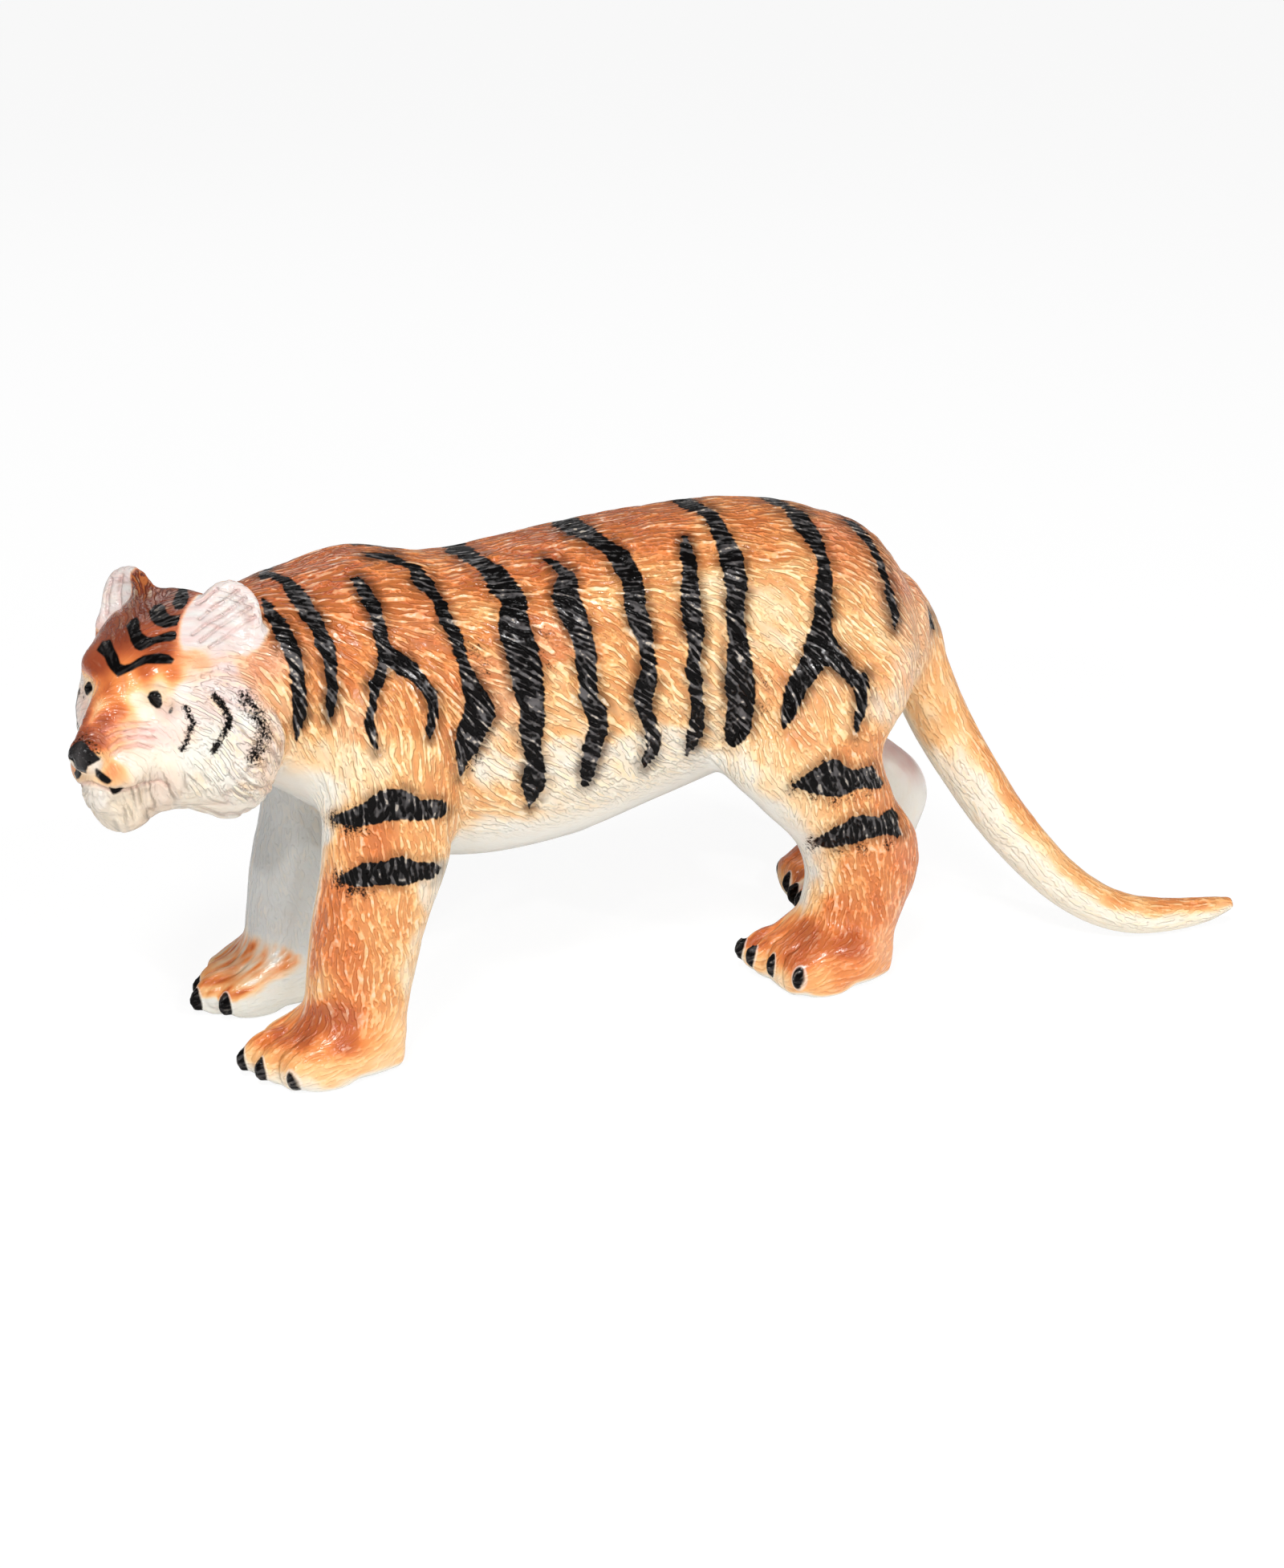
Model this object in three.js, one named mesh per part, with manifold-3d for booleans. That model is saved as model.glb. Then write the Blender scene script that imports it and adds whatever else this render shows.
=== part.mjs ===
// Stuffed soft-vinyl tiger, standing, with its head turned to its left.
// Millimetres. +Z is up, the nose points to -X and the tiger's left side to -Y.
// Each skin is a hollow moulding, open where it meets its neighbour, round one filling of fibre.
import * as THREE from 'three';
import { mergeVertices } from 'three/addons/utils/BufferGeometryUtils.js';
import Module from 'manifold-3d';

const wasm = await Module();
wasm.setup();

// Walls and clearances
const skinWall = 2;
const skinGap = 0.3;
const fillGap = 0.3;

// Trunk from the rump to the neck.
// Each station is its place along X, its sideways shift, its top, its bottom and its width.
const trunkStations = [
  { x: 68.5, y: 0, top: 90, bottom: 62.5, width: 27 },
  { x: 62, y: 0, top: 99, bottom: 57, width: 38 },
  { x: 48, y: 0, top: 106.3, bottom: 53, width: 47 },
  { x: 28, y: 0, top: 110.8, bottom: 50.5, width: 49 },
  { x: 5, y: 0, top: 110.9, bottom: 44.5, width: 50 },
  { x: -20, y: 0, top: 108.9, bottom: 38.5, width: 52 },
  { x: -45, y: 0, top: 106.8, bottom: 38.5, width: 52 },
  { x: -64, y: 0, top: 109.9, bottom: 44, width: 50 },
  { x: -76, y: -1.5, top: 108, bottom: 55, width: 45 },
  { x: -88, y: -5.5, top: 106, bottom: 64, width: 40 },
  { x: -97, y: -9.5, top: 103, bottom: 69, width: 34 },
];
const trunkSquareness = 2.15;
const rumpRound = 6.5;
const neckRound = 3;

// Head, measured forward from the point between the ears
const headCentre = { x: -102.7, y: -7 };
const headTurn = 42;
const skullStations = [
  { ahead: -9, top: 102, bottom: 66, width: 31 },
  { ahead: -3, top: 106.3, bottom: 61, width: 42 },
  { ahead: 4, top: 106.9, bottom: 60, width: 45.5 },
  { ahead: 11, top: 104.4, bottom: 61, width: 38 },
  { ahead: 17, top: 99.8, bottom: 64, width: 27.5 },
  { ahead: 22, top: 93.5, bottom: 68, width: 17 },
];
const skullSquareness = 2.1;
const skullRound = 4;
const muzzleStations = [
  { ahead: 14, top: 97, bottom: 66, width: 18 },
  { ahead: 22, top: 93.8, bottom: 63.5, width: 17.5 },
  { ahead: 28, top: 89.5, bottom: 65.5, width: 15 },
  { ahead: 32, top: 86, bottom: 70, width: 11.5 },
];
const muzzleSquareness = 2.3;
const muzzleRound = 3;

// Brows and nose: how far ahead each lies, how far its middle is below the top there, and its size
const brow = { ahead: 17.5, sink: 2.8, spacing: 15, length: 10, width: 9.5, thickness: 6 };
const nose = { proud: 1.5, sink: 3.5, length: 5, width: 8.5, thickness: 6.5 };

// Ears: round cups that open forward and outward, their middles this far below the crown
const earSpacing = 24.5;
const earSink = 1.6;
const earWidth = 15.5;
const earTall = 16;
const earThickness = 6;
const earCup = 2.4;
const earRim = 2;
const earOutward = 32;
const earLean = 14;

// Legs, side to side this far apart. Each station is its height, its place along X,
// how far it leans out past the foot, its length along X and its thickness across.
const stance = 41;
const forelegStations = [
  { z: 95, x: -57, out: -12, long: 16, thick: 8 },
  { z: 88, x: -57.5, out: -6.5, long: 26, thick: 17 },
  { z: 75, x: -61, out: -2.3, long: 30, thick: 21 },
  { z: 60, x: -63, out: -1.2, long: 28.5, thick: 22.5 },
  { z: 46, x: -64.8, out: -0.5, long: 27.4, thick: 22 },
  { z: 32, x: -69.2, out: 0, long: 24.8, thick: 21 },
  { z: 20, x: -71.6, out: 0, long: 23.2, thick: 20.2 },
  { z: 9, x: -73.5, out: 0, long: 22, thick: 20 },
];
const hindlegStations = [
  { z: 91, x: 46, out: -11, long: 22, thick: 12 },
  { z: 81, x: 44.5, out: -4, long: 37, thick: 20.5 },
  { z: 68, x: 41, out: -1, long: 41, thick: 24 },
  { z: 56, x: 34.8, out: -0.3, long: 39.5, thick: 23.5 },
  { z: 44, x: 41, out: 0, long: 32.5, thick: 22.6 },
  { z: 33, x: 49.3, out: 0, long: 29, thick: 21.4 },
  { z: 25, x: 51, out: 0, long: 27, thick: 20.6 },
  { z: 16, x: 48.7, out: 0, long: 24.8, thick: 20.6 },
  { z: 8, x: 46.2, out: 0, long: 23, thick: 20 },
];
const legSquareness = 2.2;
const legRound = 4;

// The right legs stand differently: the foreleg a little ahead, and the hind leg a step behind,
// turning back from the hip to the ankle.
const forelegLead = 1.5;
const hindlegStride = 23.5;
const hipHeight = 80;
const ankleHeight = 20;

// Feet: each station is its distance ahead of the heel, its width and its height.
// The toes run from the inner one to the outer one, each with its tip and its place across the foot.
const forefoot = {
  heel: -62.5,
  stations: [
    { ahead: 3.5, width: 16.5, height: 11 },
    { ahead: 10, width: 22, height: 13.5 },
    { ahead: 20, width: 22.5, height: 13.2 },
    { ahead: 27, width: 20, height: 9.5 },
  ],
  toeTips: [29.4, 34.6, 33.4, 27.6],
  toeOffsets: [-9, -4, 2.2, 8.9],
};
const hindfoot = {
  heel: 57,
  stations: [
    { ahead: 3.5, width: 17, height: 11 },
    { ahead: 10, width: 24, height: 14 },
    { ahead: 20, width: 25, height: 14.5 },
    { ahead: 27, width: 22, height: 10.5 },
  ],
  toeTips: [32.4, 32, 29.8, 26.6],
  toeOffsets: [-10.4, -5.6, 0.8, 8.2],
};
const leftHindfootOut = 1.5;
const footSquareness = 3;
const footRound = 3;
const soleFlat = 0.5;
const toe = { length: 16, width: 7.8, thickness: 10.6 };
const claw = { length: 3.6, width: 3.4, thickness: 5.2, height: 3.9 };

// Tail: its centre line, hanging from the rump and sweeping to the tiger's left, and its thickness
const tailStations = [
  { at: [59, 0, 79], thick: 12 },
  { at: [70.5, -0.5, 76.5], thick: 15.5 },
  { at: [74.8, -2, 65], thick: 15 },
  { at: [80, -5, 52], thick: 14.2 },
  { at: [85.8, -9, 40.5], thick: 13.4 },
  { at: [91.8, -13, 30], thick: 12.6 },
  { at: [98, -18, 21], thick: 11.8 },
  { at: [105, -23.5, 13], thick: 10.8 },
  { at: [112.5, -28, 7.8], thick: 10 },
  { at: [120, -31.5, 5.3], thick: 9.2 },
  { at: [129, -34, 4.6], thick: 8 },
  { at: [137.5, -36, 5.1], thick: 6.2 },
  { at: [143.5, -37, 6], thick: 3.6 },
];
const tailRound = 1.8;

// Plug that closes the filling hole in the belly
const plugX = -14;
const plugDiameter = 15;
const plugFlange = 2.5;
const plugInside = 6.5;

// Facets round each form
const bodySides = 20;
const limbSides = 12;
const earSides = 10;
const toeSides = 6;
const clawSides = 4;
const bodyInnerSides = 8;
const limbInnerSides = 6;

const left = -1;
const right = 1;
const acrossBody = new THREE.Vector3(0, 1, 0);
const alongBody = new THREE.Vector3(1, 0, 0);
const upward = new THREE.Vector3(0, 0, 1);

// A solid from closed triangles, turned to face out
function solidOf(points, index) {
  const corner = [new THREE.Vector3(), new THREE.Vector3(), new THREE.Vector3()];
  let volume = 0;
  for (let i = 0; i < index.length; i += 3) {
    corner.forEach((point, k) => point.fromArray(points, 3 * index[i + k]));
    volume += corner[0].dot(corner[1].clone().cross(corner[2]));
  }
  return new wasm.Manifold(new wasm.Mesh({
    numProp: 3,
    vertProperties: new Float32Array(points),
    triVerts: volume > 0 ? new Uint32Array(index) : new Uint32Array(index).reverse(),
  }));
}

function solidOfGeometry(geometry, matrix) {
  geometry.deleteAttribute('normal');
  geometry.deleteAttribute('uv');
  const merged = mergeVertices(geometry).applyMatrix4(matrix);
  return solidOf(merged.getAttribute('position').array, merged.getIndex().array);
}

function join(...solids) {
  return solids.reduce((sum, solid) => sum.add(solid));
}

function cut(solid, ...tools) {
  return tools.reduce((rest, tool) => rest.subtract(tool), solid);
}

function above(height, solid) {
  return solid.trimByPlane(upward.toArray(), height);
}

// A swelling, tapering form: rings of rounded section at its stations,
// each { centre, side, rise, halfSide, halfRise }, and a rounded cap on each end.
// grow moves the whole surface out, or in where it is negative.
const leastHalf = 0.4;
const leastReach = 0.2;
const capTurns = [Math.PI / 3, Math.PI / 6];
function swelling(form, sides, grow = 0) {
  const { squareness, startRound, endRound } = form;
  const rings = form.stations.map((r) => ({
    ...r,
    halfSide: Math.max(r.halfSide + grow, leastHalf),
    halfRise: Math.max(r.halfRise + grow, leastHalf),
  }));
  const points = [];
  const addRing = ({ centre, side, rise, halfSide, halfRise }) => {
    for (let i = 0; i < sides; i += 1) {
      const angle = (2 * Math.PI * i) / sides;
      const c = Math.cos(angle);
      const s = Math.sin(angle);
      const across = Math.sign(c) * Math.abs(c) ** (2 / squareness) * halfSide;
      const up = Math.sign(s) * Math.abs(s) ** (2 / squareness) * halfRise;
      points.push(...centre.clone().addScaledVector(side, across).addScaledVector(rise, up));
    }
  };
  const cap = (ring, inner, round) => {
    const direction = ring.centre.clone().sub(inner.centre).normalize();
    const reach = Math.max(round + grow, leastReach);
    const rounds = capTurns.map((turn) => ({
      ...ring,
      centre: ring.centre.clone().addScaledVector(direction, reach * Math.sin(turn)),
      halfSide: ring.halfSide * Math.cos(turn),
      halfRise: ring.halfRise * Math.cos(turn),
    }));
    return { rounds, pole: ring.centre.clone().addScaledVector(direction, reach) };
  };
  const start = cap(rings[0], rings[1], startRound);
  const end = cap(rings.at(-1), rings.at(-2), endRound);
  points.push(...start.pole);
  const allRings = [...start.rounds, ...rings, ...end.rounds.reverse()];
  allRings.forEach(addRing);
  points.push(...end.pole);
  const index = [];
  const lastRing = 1 + (allRings.length - 1) * sides;
  for (let i = 0; i < sides; i += 1) {
    const next = (i + 1) % sides;
    index.push(0, 1 + next, 1 + i);
    for (let a = 1; a < lastRing; a += sides) {
      const b = a + sides;
      index.push(a + i, a + next, b + i, a + next, b + next, b + i);
    }
    index.push(lastRing + i, lastRing + next, lastRing + sides);
  }
  return solidOf(points, index);
}

function ellipsoid(centre, turned, { length, width, thickness }, sides) {
  const ball = new THREE.SphereGeometry(1, sides, Math.max(4, Math.round(sides * 0.6)));
  const matrix = new THREE.Matrix4().makeTranslation(centre).multiply(turned)
    .multiply(new THREE.Matrix4().makeScale(length / 2, width / 2, thickness / 2));
  return solidOfGeometry(ball, matrix);
}

// Trunk
const trunkForm = {
  stations: trunkStations.map((s) => ({
    centre: new THREE.Vector3(s.x, s.y, (s.top + s.bottom) / 2),
    side: acrossBody,
    rise: upward,
    halfSide: s.width / 2,
    halfRise: (s.top - s.bottom) / 2,
  })),
  squareness: trunkSquareness,
  startRound: rumpRound,
  endRound: neckRound,
};

// Head, in its own turned frame
const turned = THREE.MathUtils.degToRad(headTurn);
const faceForward = new THREE.Vector3(-Math.cos(turned), -Math.sin(turned), 0);
const faceLeft = new THREE.Vector3(Math.sin(turned), -Math.cos(turned), 0);
const headBasis = new THREE.Matrix4().makeBasis(faceForward, faceLeft, upward);
function headPoint(ahead, leftward, height) {
  return new THREE.Vector3(headCentre.x, headCentre.y, height)
    .addScaledVector(faceForward, ahead)
    .addScaledVector(faceLeft, leftward);
}

function headForm(stations, squareness, round) {
  return {
    stations: stations.map((s) => ({
      centre: headPoint(s.ahead, 0, (s.top + s.bottom) / 2),
      side: faceLeft,
      rise: upward,
      halfSide: s.width / 2,
      halfRise: (s.top - s.bottom) / 2,
    })),
    squareness,
    startRound: round,
    endRound: round,
  };
}
const skullForm = headForm(skullStations, skullSquareness, skullRound);
const muzzleForm = headForm(muzzleStations, muzzleSquareness, muzzleRound);

function headShape(grow) {
  return join(
    swelling(skullForm, bodySides, grow),
    swelling(muzzleForm, limbSides, grow),
  );
}

function headInside(inset) {
  return join(
    swelling(skullForm, bodyInnerSides, -inset),
    swelling(muzzleForm, limbInnerSides, -inset),
  );
}

function topAt(stations, ahead) {
  const next = stations.findIndex((s) => s.ahead >= ahead);
  const before = stations[next - 1];
  const after = stations[next];
  return THREE.MathUtils.mapLinear(ahead, before.ahead, after.ahead, before.top, after.top);
}

function browRidge(leftward) {
  const height = topAt(skullStations, brow.ahead) - brow.sink;
  const centre = headPoint(brow.ahead, (leftward * brow.spacing) / 2, height);
  return ellipsoid(centre, headBasis, brow, toeSides);
}

function nosePad() {
  const tip = muzzleStations.at(-1);
  return ellipsoid(headPoint(tip.ahead + nose.proud, 0, tip.top - nose.sink), headBasis, nose, toeSides);
}

// Ears
function ear(leftward) {
  const height = topAt(skullStations, 0) - earSink;
  const centre = headPoint(0, (leftward * earSpacing) / 2, height);
  const swing = new THREE.Matrix4().makeRotationZ(THREE.MathUtils.degToRad(leftward * earOutward));
  const lean = new THREE.Matrix4().makeRotationY(THREE.MathUtils.degToRad(-earLean));
  const placed = headBasis.clone().multiply(swing).multiply(lean);
  const opening = new THREE.Vector3(1, 0, 0).transformDirection(placed);
  const lobe = { length: earThickness, width: earWidth, thickness: earTall };
  const hollow = {
    length: 2 * earCup,
    width: earWidth - 2 * earRim,
    thickness: earTall - 2 * earRim,
  };
  const mouth = centre.clone().addScaledVector(opening, earThickness / 2);
  return cut(ellipsoid(centre, placed, lobe, earSides), ellipsoid(mouth, placed, hollow, earSides));
}

// Legs and feet
function legForm(stations, side, shift) {
  return {
    stations: stations.map((s) => ({
      centre: new THREE.Vector3(s.x + shift(s.z), side * (stance / 2 + s.out), s.z),
      side: acrossBody,
      rise: alongBody,
      halfSide: s.thick / 2,
      halfRise: s.long / 2,
    })),
    squareness: legSquareness,
    startRound: legRound,
    endRound: legRound,
  };
}

function footForm(foot, side, shift, middle) {
  return {
    stations: foot.stations.map((s) => ({
      centre: new THREE.Vector3(
        foot.heel + shift - s.ahead,
        side * middle,
        (s.height - soleFlat) / 2,
      ),
      side: acrossBody,
      rise: upward,
      halfSide: s.width / 2,
      halfRise: (s.height + soleFlat) / 2,
    })),
    squareness: footSquareness,
    startRound: footRound,
    endRound: footRound,
  };
}

function toesAndClaws(foot, side, shift, middle) {
  const upright = new THREE.Matrix4();
  return foot.toeTips.flatMap((tip, i) => {
    const out = middle + foot.toeOffsets[i];
    const tipX = foot.heel + shift - tip;
    const toeAt = new THREE.Vector3(tipX + toe.length / 2, side * out, toe.thickness / 2 - soleFlat);
    const clawAt = new THREE.Vector3(tipX + claw.length / 4, side * out, claw.height);
    return [
      ellipsoid(toeAt, upright, toe, toeSides),
      ellipsoid(clawAt, upright, claw, clawSides),
    ];
  });
}

function leg(stations, foot, side, shift, footOut = 0) {
  const limb = legForm(stations, side, shift);
  const middle = stance / 2 + footOut;
  const paw = footForm(foot, side, shift(0), middle);
  const inside = (inset) => above(inset, join(
    swelling(limb, limbInnerSides, -inset),
    swelling(paw, limbInnerSides, -inset),
  ));
  const outer = above(0, join(
    swelling(limb, limbSides),
    swelling(paw, limbSides),
    ...toesAndClaws(foot, side, shift(0), middle),
  ));
  return { outer, hollow: inside(skinWall), filled: inside(skinWall + fillGap) };
}

const square = () => 0;
const ahead = () => -forelegLead;
const trailing = (z) => hindlegStride
  * THREE.MathUtils.smoothstep(hipHeight - z, 0, hipHeight - ankleHeight);
const legs = {
  foreleg_left: leg(forelegStations, forefoot, left, square),
  foreleg_right: leg(forelegStations, forefoot, right, ahead),
  hindleg_left: leg(hindlegStations, hindfoot, left, square, leftHindfootOut),
  hindleg_right: leg(hindlegStations, hindfoot, right, trailing),
};

// Tail
const tailLine = new THREE.CatmullRomCurve3(
  tailStations.map((s) => new THREE.Vector3(...s.at)),
);
const tailForm = {
  stations: tailStations.map((s, i) => {
    const along = tailLine.getTangent(i / (tailStations.length - 1));
    const side = along.clone().cross(upward).normalize();
    return {
      centre: new THREE.Vector3(...s.at),
      side,
      rise: side.clone().cross(along),
      halfSide: s.thick / 2,
      halfRise: s.thick / 2,
    };
  }),
  squareness: 2,
  startRound: tailRound,
  endRound: tailRound,
};

// Plug: a shank through the belly wall, and a flange that holds behind it
const bellyLow = Math.min(...trunkStations.map((s) => s.bottom));
const plugReach = 2 * skinWall + plugInside;
function plugBlank(radius, reach) {
  const disc = new THREE.CylinderGeometry(radius, radius, reach, limbSides);
  const matrix = new THREE.Matrix4().makeTranslation(plugX, 0, bellyLow + reach / 2 - skinWall)
    .multiply(new THREE.Matrix4().makeRotationX(Math.PI / 2));
  return solidOfGeometry(disc, matrix);
}
const plugRadius = plugDiameter / 2;

// Skins, each cut by the larger one that it grows from
const trunkOuter = swelling(trunkForm, bodySides);
const trunkSeat = swelling(trunkForm, bodySides, skinGap);
const trunkSkin = cut(
  trunkOuter,
  swelling(trunkForm, bodyInnerSides, -skinWall),
  ...Object.values(legs).map((limb) => limb.hollow),
  headInside(skinWall),
  plugBlank(plugRadius + skinGap, plugReach),
);
const headSkin = cut(
  join(headShape(0), browRidge(1), browRidge(-1), nosePad()),
  headInside(skinWall),
  trunkSeat,
);
const headSeat = headShape(skinGap);
const plug = join(
  plugBlank(plugRadius, plugReach).intersect(trunkOuter),
  plugBlank(plugRadius + plugFlange, plugReach)
    .intersect(swelling(trunkForm, bodyInnerSides, -skinWall - skinGap)),
);

// Fibre filling
const filling = cut(
  join(
    swelling(trunkForm, bodyInnerSides, -skinWall - fillGap),
    headInside(skinWall + fillGap),
    ...Object.values(legs).map((limb) => limb.filled),
  ),
  plugBlank(plugRadius + plugFlange + fillGap, plugReach + fillGap),
);

// Colours and finish
const finishes = {
  vinyl: { color: 0xe08a4c, roughness: 0.42, metalness: 0 },
  face: { color: 0xe9c9b2, roughness: 0.42, metalness: 0 },
  plug: { color: 0xe4e6e2, roughness: 0.5, metalness: 0 },
  fibre: { color: 0xf1f0ea, roughness: 0.95, metalness: 0 },
};

const tiger = new THREE.Group();
function add(name, solid, finish) {
  const mesh = solid.getMesh();
  const geometry = new THREE.BufferGeometry();
  geometry.setAttribute('position', new THREE.BufferAttribute(mesh.vertProperties, 3));
  geometry.setIndex(new THREE.BufferAttribute(mesh.triVerts, 1));
  const piece = new THREE.Mesh(geometry, new THREE.MeshStandardMaterial(finishes[finish]));
  piece.name = name;
  tiger.add(piece);
}

add('trunk_skin', trunkSkin, 'vinyl');
add('head_skin', headSkin, 'face');
add('ear_left', cut(ear(1), headSeat, trunkSeat), 'face');
add('ear_right', cut(ear(-1), headSeat, trunkSeat), 'face');
Object.entries(legs).forEach(([name, limb]) => {
  add(name, cut(limb.outer, limb.hollow, trunkSeat), 'vinyl');
});
add('tail', cut(swelling(tailForm, limbSides), trunkSeat), 'vinyl');
add('belly_plug', plug, 'plug');
add('fibre_filling', filling, 'fibre');

// The origin is the middle of the box's bottom.
const box = new THREE.Box3().setFromObject(tiger);
const middle = box.getCenter(new THREE.Vector3());
tiger.position.set(-middle.x, -middle.y, -box.min.z);

export default tiger;
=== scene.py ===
# Looks of the stuffed soft-vinyl tiger, in the CAD frame
import math

import bpy
import numpy as np
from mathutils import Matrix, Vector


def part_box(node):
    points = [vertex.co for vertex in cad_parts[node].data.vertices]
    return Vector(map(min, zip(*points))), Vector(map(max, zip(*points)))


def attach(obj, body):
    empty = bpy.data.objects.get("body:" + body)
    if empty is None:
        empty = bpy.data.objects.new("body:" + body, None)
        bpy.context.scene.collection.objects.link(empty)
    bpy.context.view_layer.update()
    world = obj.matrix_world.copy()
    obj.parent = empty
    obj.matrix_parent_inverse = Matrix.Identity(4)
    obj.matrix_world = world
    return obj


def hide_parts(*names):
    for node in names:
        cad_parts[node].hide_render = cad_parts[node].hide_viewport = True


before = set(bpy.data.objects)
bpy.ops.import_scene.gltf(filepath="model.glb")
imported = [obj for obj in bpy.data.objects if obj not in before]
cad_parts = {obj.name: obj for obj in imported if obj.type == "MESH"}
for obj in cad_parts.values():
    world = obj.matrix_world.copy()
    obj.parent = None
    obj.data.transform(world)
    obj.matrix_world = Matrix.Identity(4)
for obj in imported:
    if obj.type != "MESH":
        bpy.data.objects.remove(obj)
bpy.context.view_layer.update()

import openvdb
from mathutils import Vector

# Modelling frame: millimetres, floor at z = 0, the same as in the CAD source before it centres its box
plug_place = np.array([-14.0, 0.0])
plug_low, plug_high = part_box("belly_plug")
plug_centre = (np.array(plug_low) + np.array(plug_high)) / 2
shift = np.array([plug_centre[0] * 1000 - plug_place[0], plug_centre[1] * 1000 - plug_place[1], 0.0])

# Stations, read off the photograph through a fitted camera
trunk_x = [68.5, 62, 48, 28, 5, -20, -45, -64, -76, -88, -97]
trunk_y = [0, 0, 0, 0, 0, 0, 0, 0, -1.5, -5, -7.7]
trunk_top = [90, 99, 106.3, 110.8, 110.9, 108.9, 106.8, 109.9, 108, 106, 103]
trunk_bottom = [62.5, 57, 53, 50.5, 44.5, 38.5, 38.5, 44, 55, 64, 69]
trunk_width = [27, 38, 47, 49, 50, 52, 52, 50, 45, 39, 31]
fore_z = [95, 88, 75, 60, 46, 32, 20, 9]
fore_x = [-57, -57.5, -61, -63, -64.8, -69.2, -71.6, -73.5]
fore_out = [-12, -6.5, -2.3, -1.2, -0.5, 0, 0, 0]
fore_long = [16, 26, 30, 28.5, 27.4, 24.8, 23.2, 22]
fore_thick = [8, 17, 21, 22.5, 22, 21, 20.2, 20]
hind_z = [91, 81, 68, 56, 44, 33, 25, 16, 8]
hind_x = [46, 44.5, 41, 34.8, 41, 49.3, 51, 48.7, 46.2]
hind_out = [-11, -4, -1, -0.3, 0, 0, 0, 0, 0]
hind_long = [22, 37, 41, 39.5, 32.5, 29, 27, 24.8, 23]
hind_thick = [12, 20.5, 24, 23.5, 22.6, 21.4, 20.6, 20.6, 20]
stance = 41
foreleg_lead = 1.5
hindleg_stride = 25.5
hip_height, ankle_height = 80, 20
hock_back = 1.0
far_foot_in = 2.5
fore_heel, hind_heel = -62.5, 57
fore_foot = ([3.5, 8, 13, 21, 27], [17, 21.5, 23.5, 23, 21], [11, 13, 14, 13, 9.5])
hind_foot = ([3.5, 8, 13, 20, 27], [17, 23, 26, 25.5, 22.5], [11, 13.5, 15, 14.5, 10.5])
fore_toes, fore_spread = [29.4, 34.6, 32.4, 27.0], [-9.0, -4.0, 2.1, 8.9]
hind_toes, hind_spread = [32.4, 32.0, 29.9, 27.2], [-10.4, -5.6, 1.0, 9.7]
hind_foot_out = 1.5
fore_claw, hind_claw = 3.9, 5.5
tail_line = [
    (59, 0, 79), (70.5, -0.5, 76.5), (74.8, -2, 65), (80, -5, 52), (85.8, -9, 40.5), (91.8, -13, 30),
    (98, -18, 21), (105, -23.5, 13), (112.5, -28, 7.8), (120, -31.5, 5.3), (129, -34, 4.6),
    (137.5, -36, 5.1), (143.5, -37, 6),
]
tail_thick = [12, 15.5, 15, 14.2, 13.4, 12.6, 11.8, 10.8, 10, 9.2, 8, 6.2, 3.6]
head_centre = np.array([-102.7, -7.0])
head_turn = math.radians(42)

# How far the ends of the lofts bulge, and how square the lofts are across
trunk_ends, trunk_square = (3.0, 6.5), 2.15
leg_ends, leg_square = (4.0, 4.0), 2.2
paw_ends, paw_square = (3.0, 3.0), 2.7
skull_ends, snout_ends, head_square = (3.0, 2.5), (3.0, 2.6), 2.2
toe_back, toe_height, toe_radii = 7.6, 4.6, (8.0, 3.9, 5.7)
claw_out, claw_radii = 0.2, (1.9, 1.35, 2.75)

# How softly the forms blend into each other
toe_blend, claw_blend, paw_blend, limb_blend = 0.9, 0.4, 4.0, 5.0
trunk_blend, head_blend, ear_blend, root_blend = 0.5, 3.5, 2.4, 3.0


# Numbers along a line
def through(at, places, values):
    """Smooth values at these places, flat past both ends."""
    places = np.asarray(places, float)
    values = np.asarray(values, float)
    order = np.argsort(places)
    places, values = places[order], values[order]
    step = np.diff(places)
    slope = np.diff(values) / step
    lean = np.empty_like(values)
    lean[1:-1] = (slope[:-1] * step[1:] + slope[1:] * step[:-1]) / (step[1:] + step[:-1])
    lean[0], lean[-1] = slope[0], slope[-1]
    at = np.clip(at, places[0], places[-1])
    i = np.clip(np.searchsorted(places, at) - 1, 0, len(step) - 1)
    t = (at - places[i]) / step[i]
    gap = step[i]
    return (
        (1 + 2 * t) * (1 - t) ** 2 * values[i]
        + t * (1 - t) ** 2 * gap * lean[i]
        + t * t * (3 - 2 * t) * values[i + 1]
        + t * t * (t - 1) * gap * lean[i + 1]
    )


def ramp(low, high, value):
    t = np.clip((value - low) / (high - low), 0, 1)
    return t * t * (3 - 2 * t)


def bell(value):
    return np.exp(-(value**2))


def unit(vectors, least=1e-9):
    return vectors / np.maximum(np.linalg.norm(vectors, axis=1, keepdims=True), least)


# Solid forms as rough distances in millimetres, less than 0 inside
def union(a, b, soft):
    near = np.maximum(soft - np.abs(a - b), 0) / soft
    return np.minimum(a, b) - near * near * soft / 4


def carve(a, b, soft):
    return -union(-a, b, soft)


def loft(s, u, v, half_u, half_v, places, ends, square):
    """A rounded bar along s, from the first to the last of these places."""
    first, last = min(places), max(places)
    past = np.maximum(first - s, 0) / ends[0] + np.maximum(s - last, 0) / ends[1]
    side = ((np.abs(u) / half_u) ** square + (np.abs(v) / half_v) ** square) ** (1 / square)
    gauge = np.maximum(np.sqrt(side**2 + past**2), 1e-3)
    reach = np.sqrt(u * u + v * v + (past * np.where(s < first, *ends)) ** 2)
    return reach * (1 - 1 / gauge)


def ball(a, b, c, centre, radii):
    """An ellipsoid. A radius may be a pair, for the far and the near side of the centre."""
    scaled = 0
    reach = 0
    for off, r in zip((a - centre[0], b - centre[1], c - centre[2]), radii):
        r = np.where(off < 0, r[0], r[1]) if isinstance(r, tuple) else r
        scaled = scaled + (off / r) ** 2
        reach = reach + off**2
    gauge = np.maximum(np.sqrt(scaled), 1e-3)
    return np.sqrt(reach) * (1 - 1 / gauge)


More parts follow.
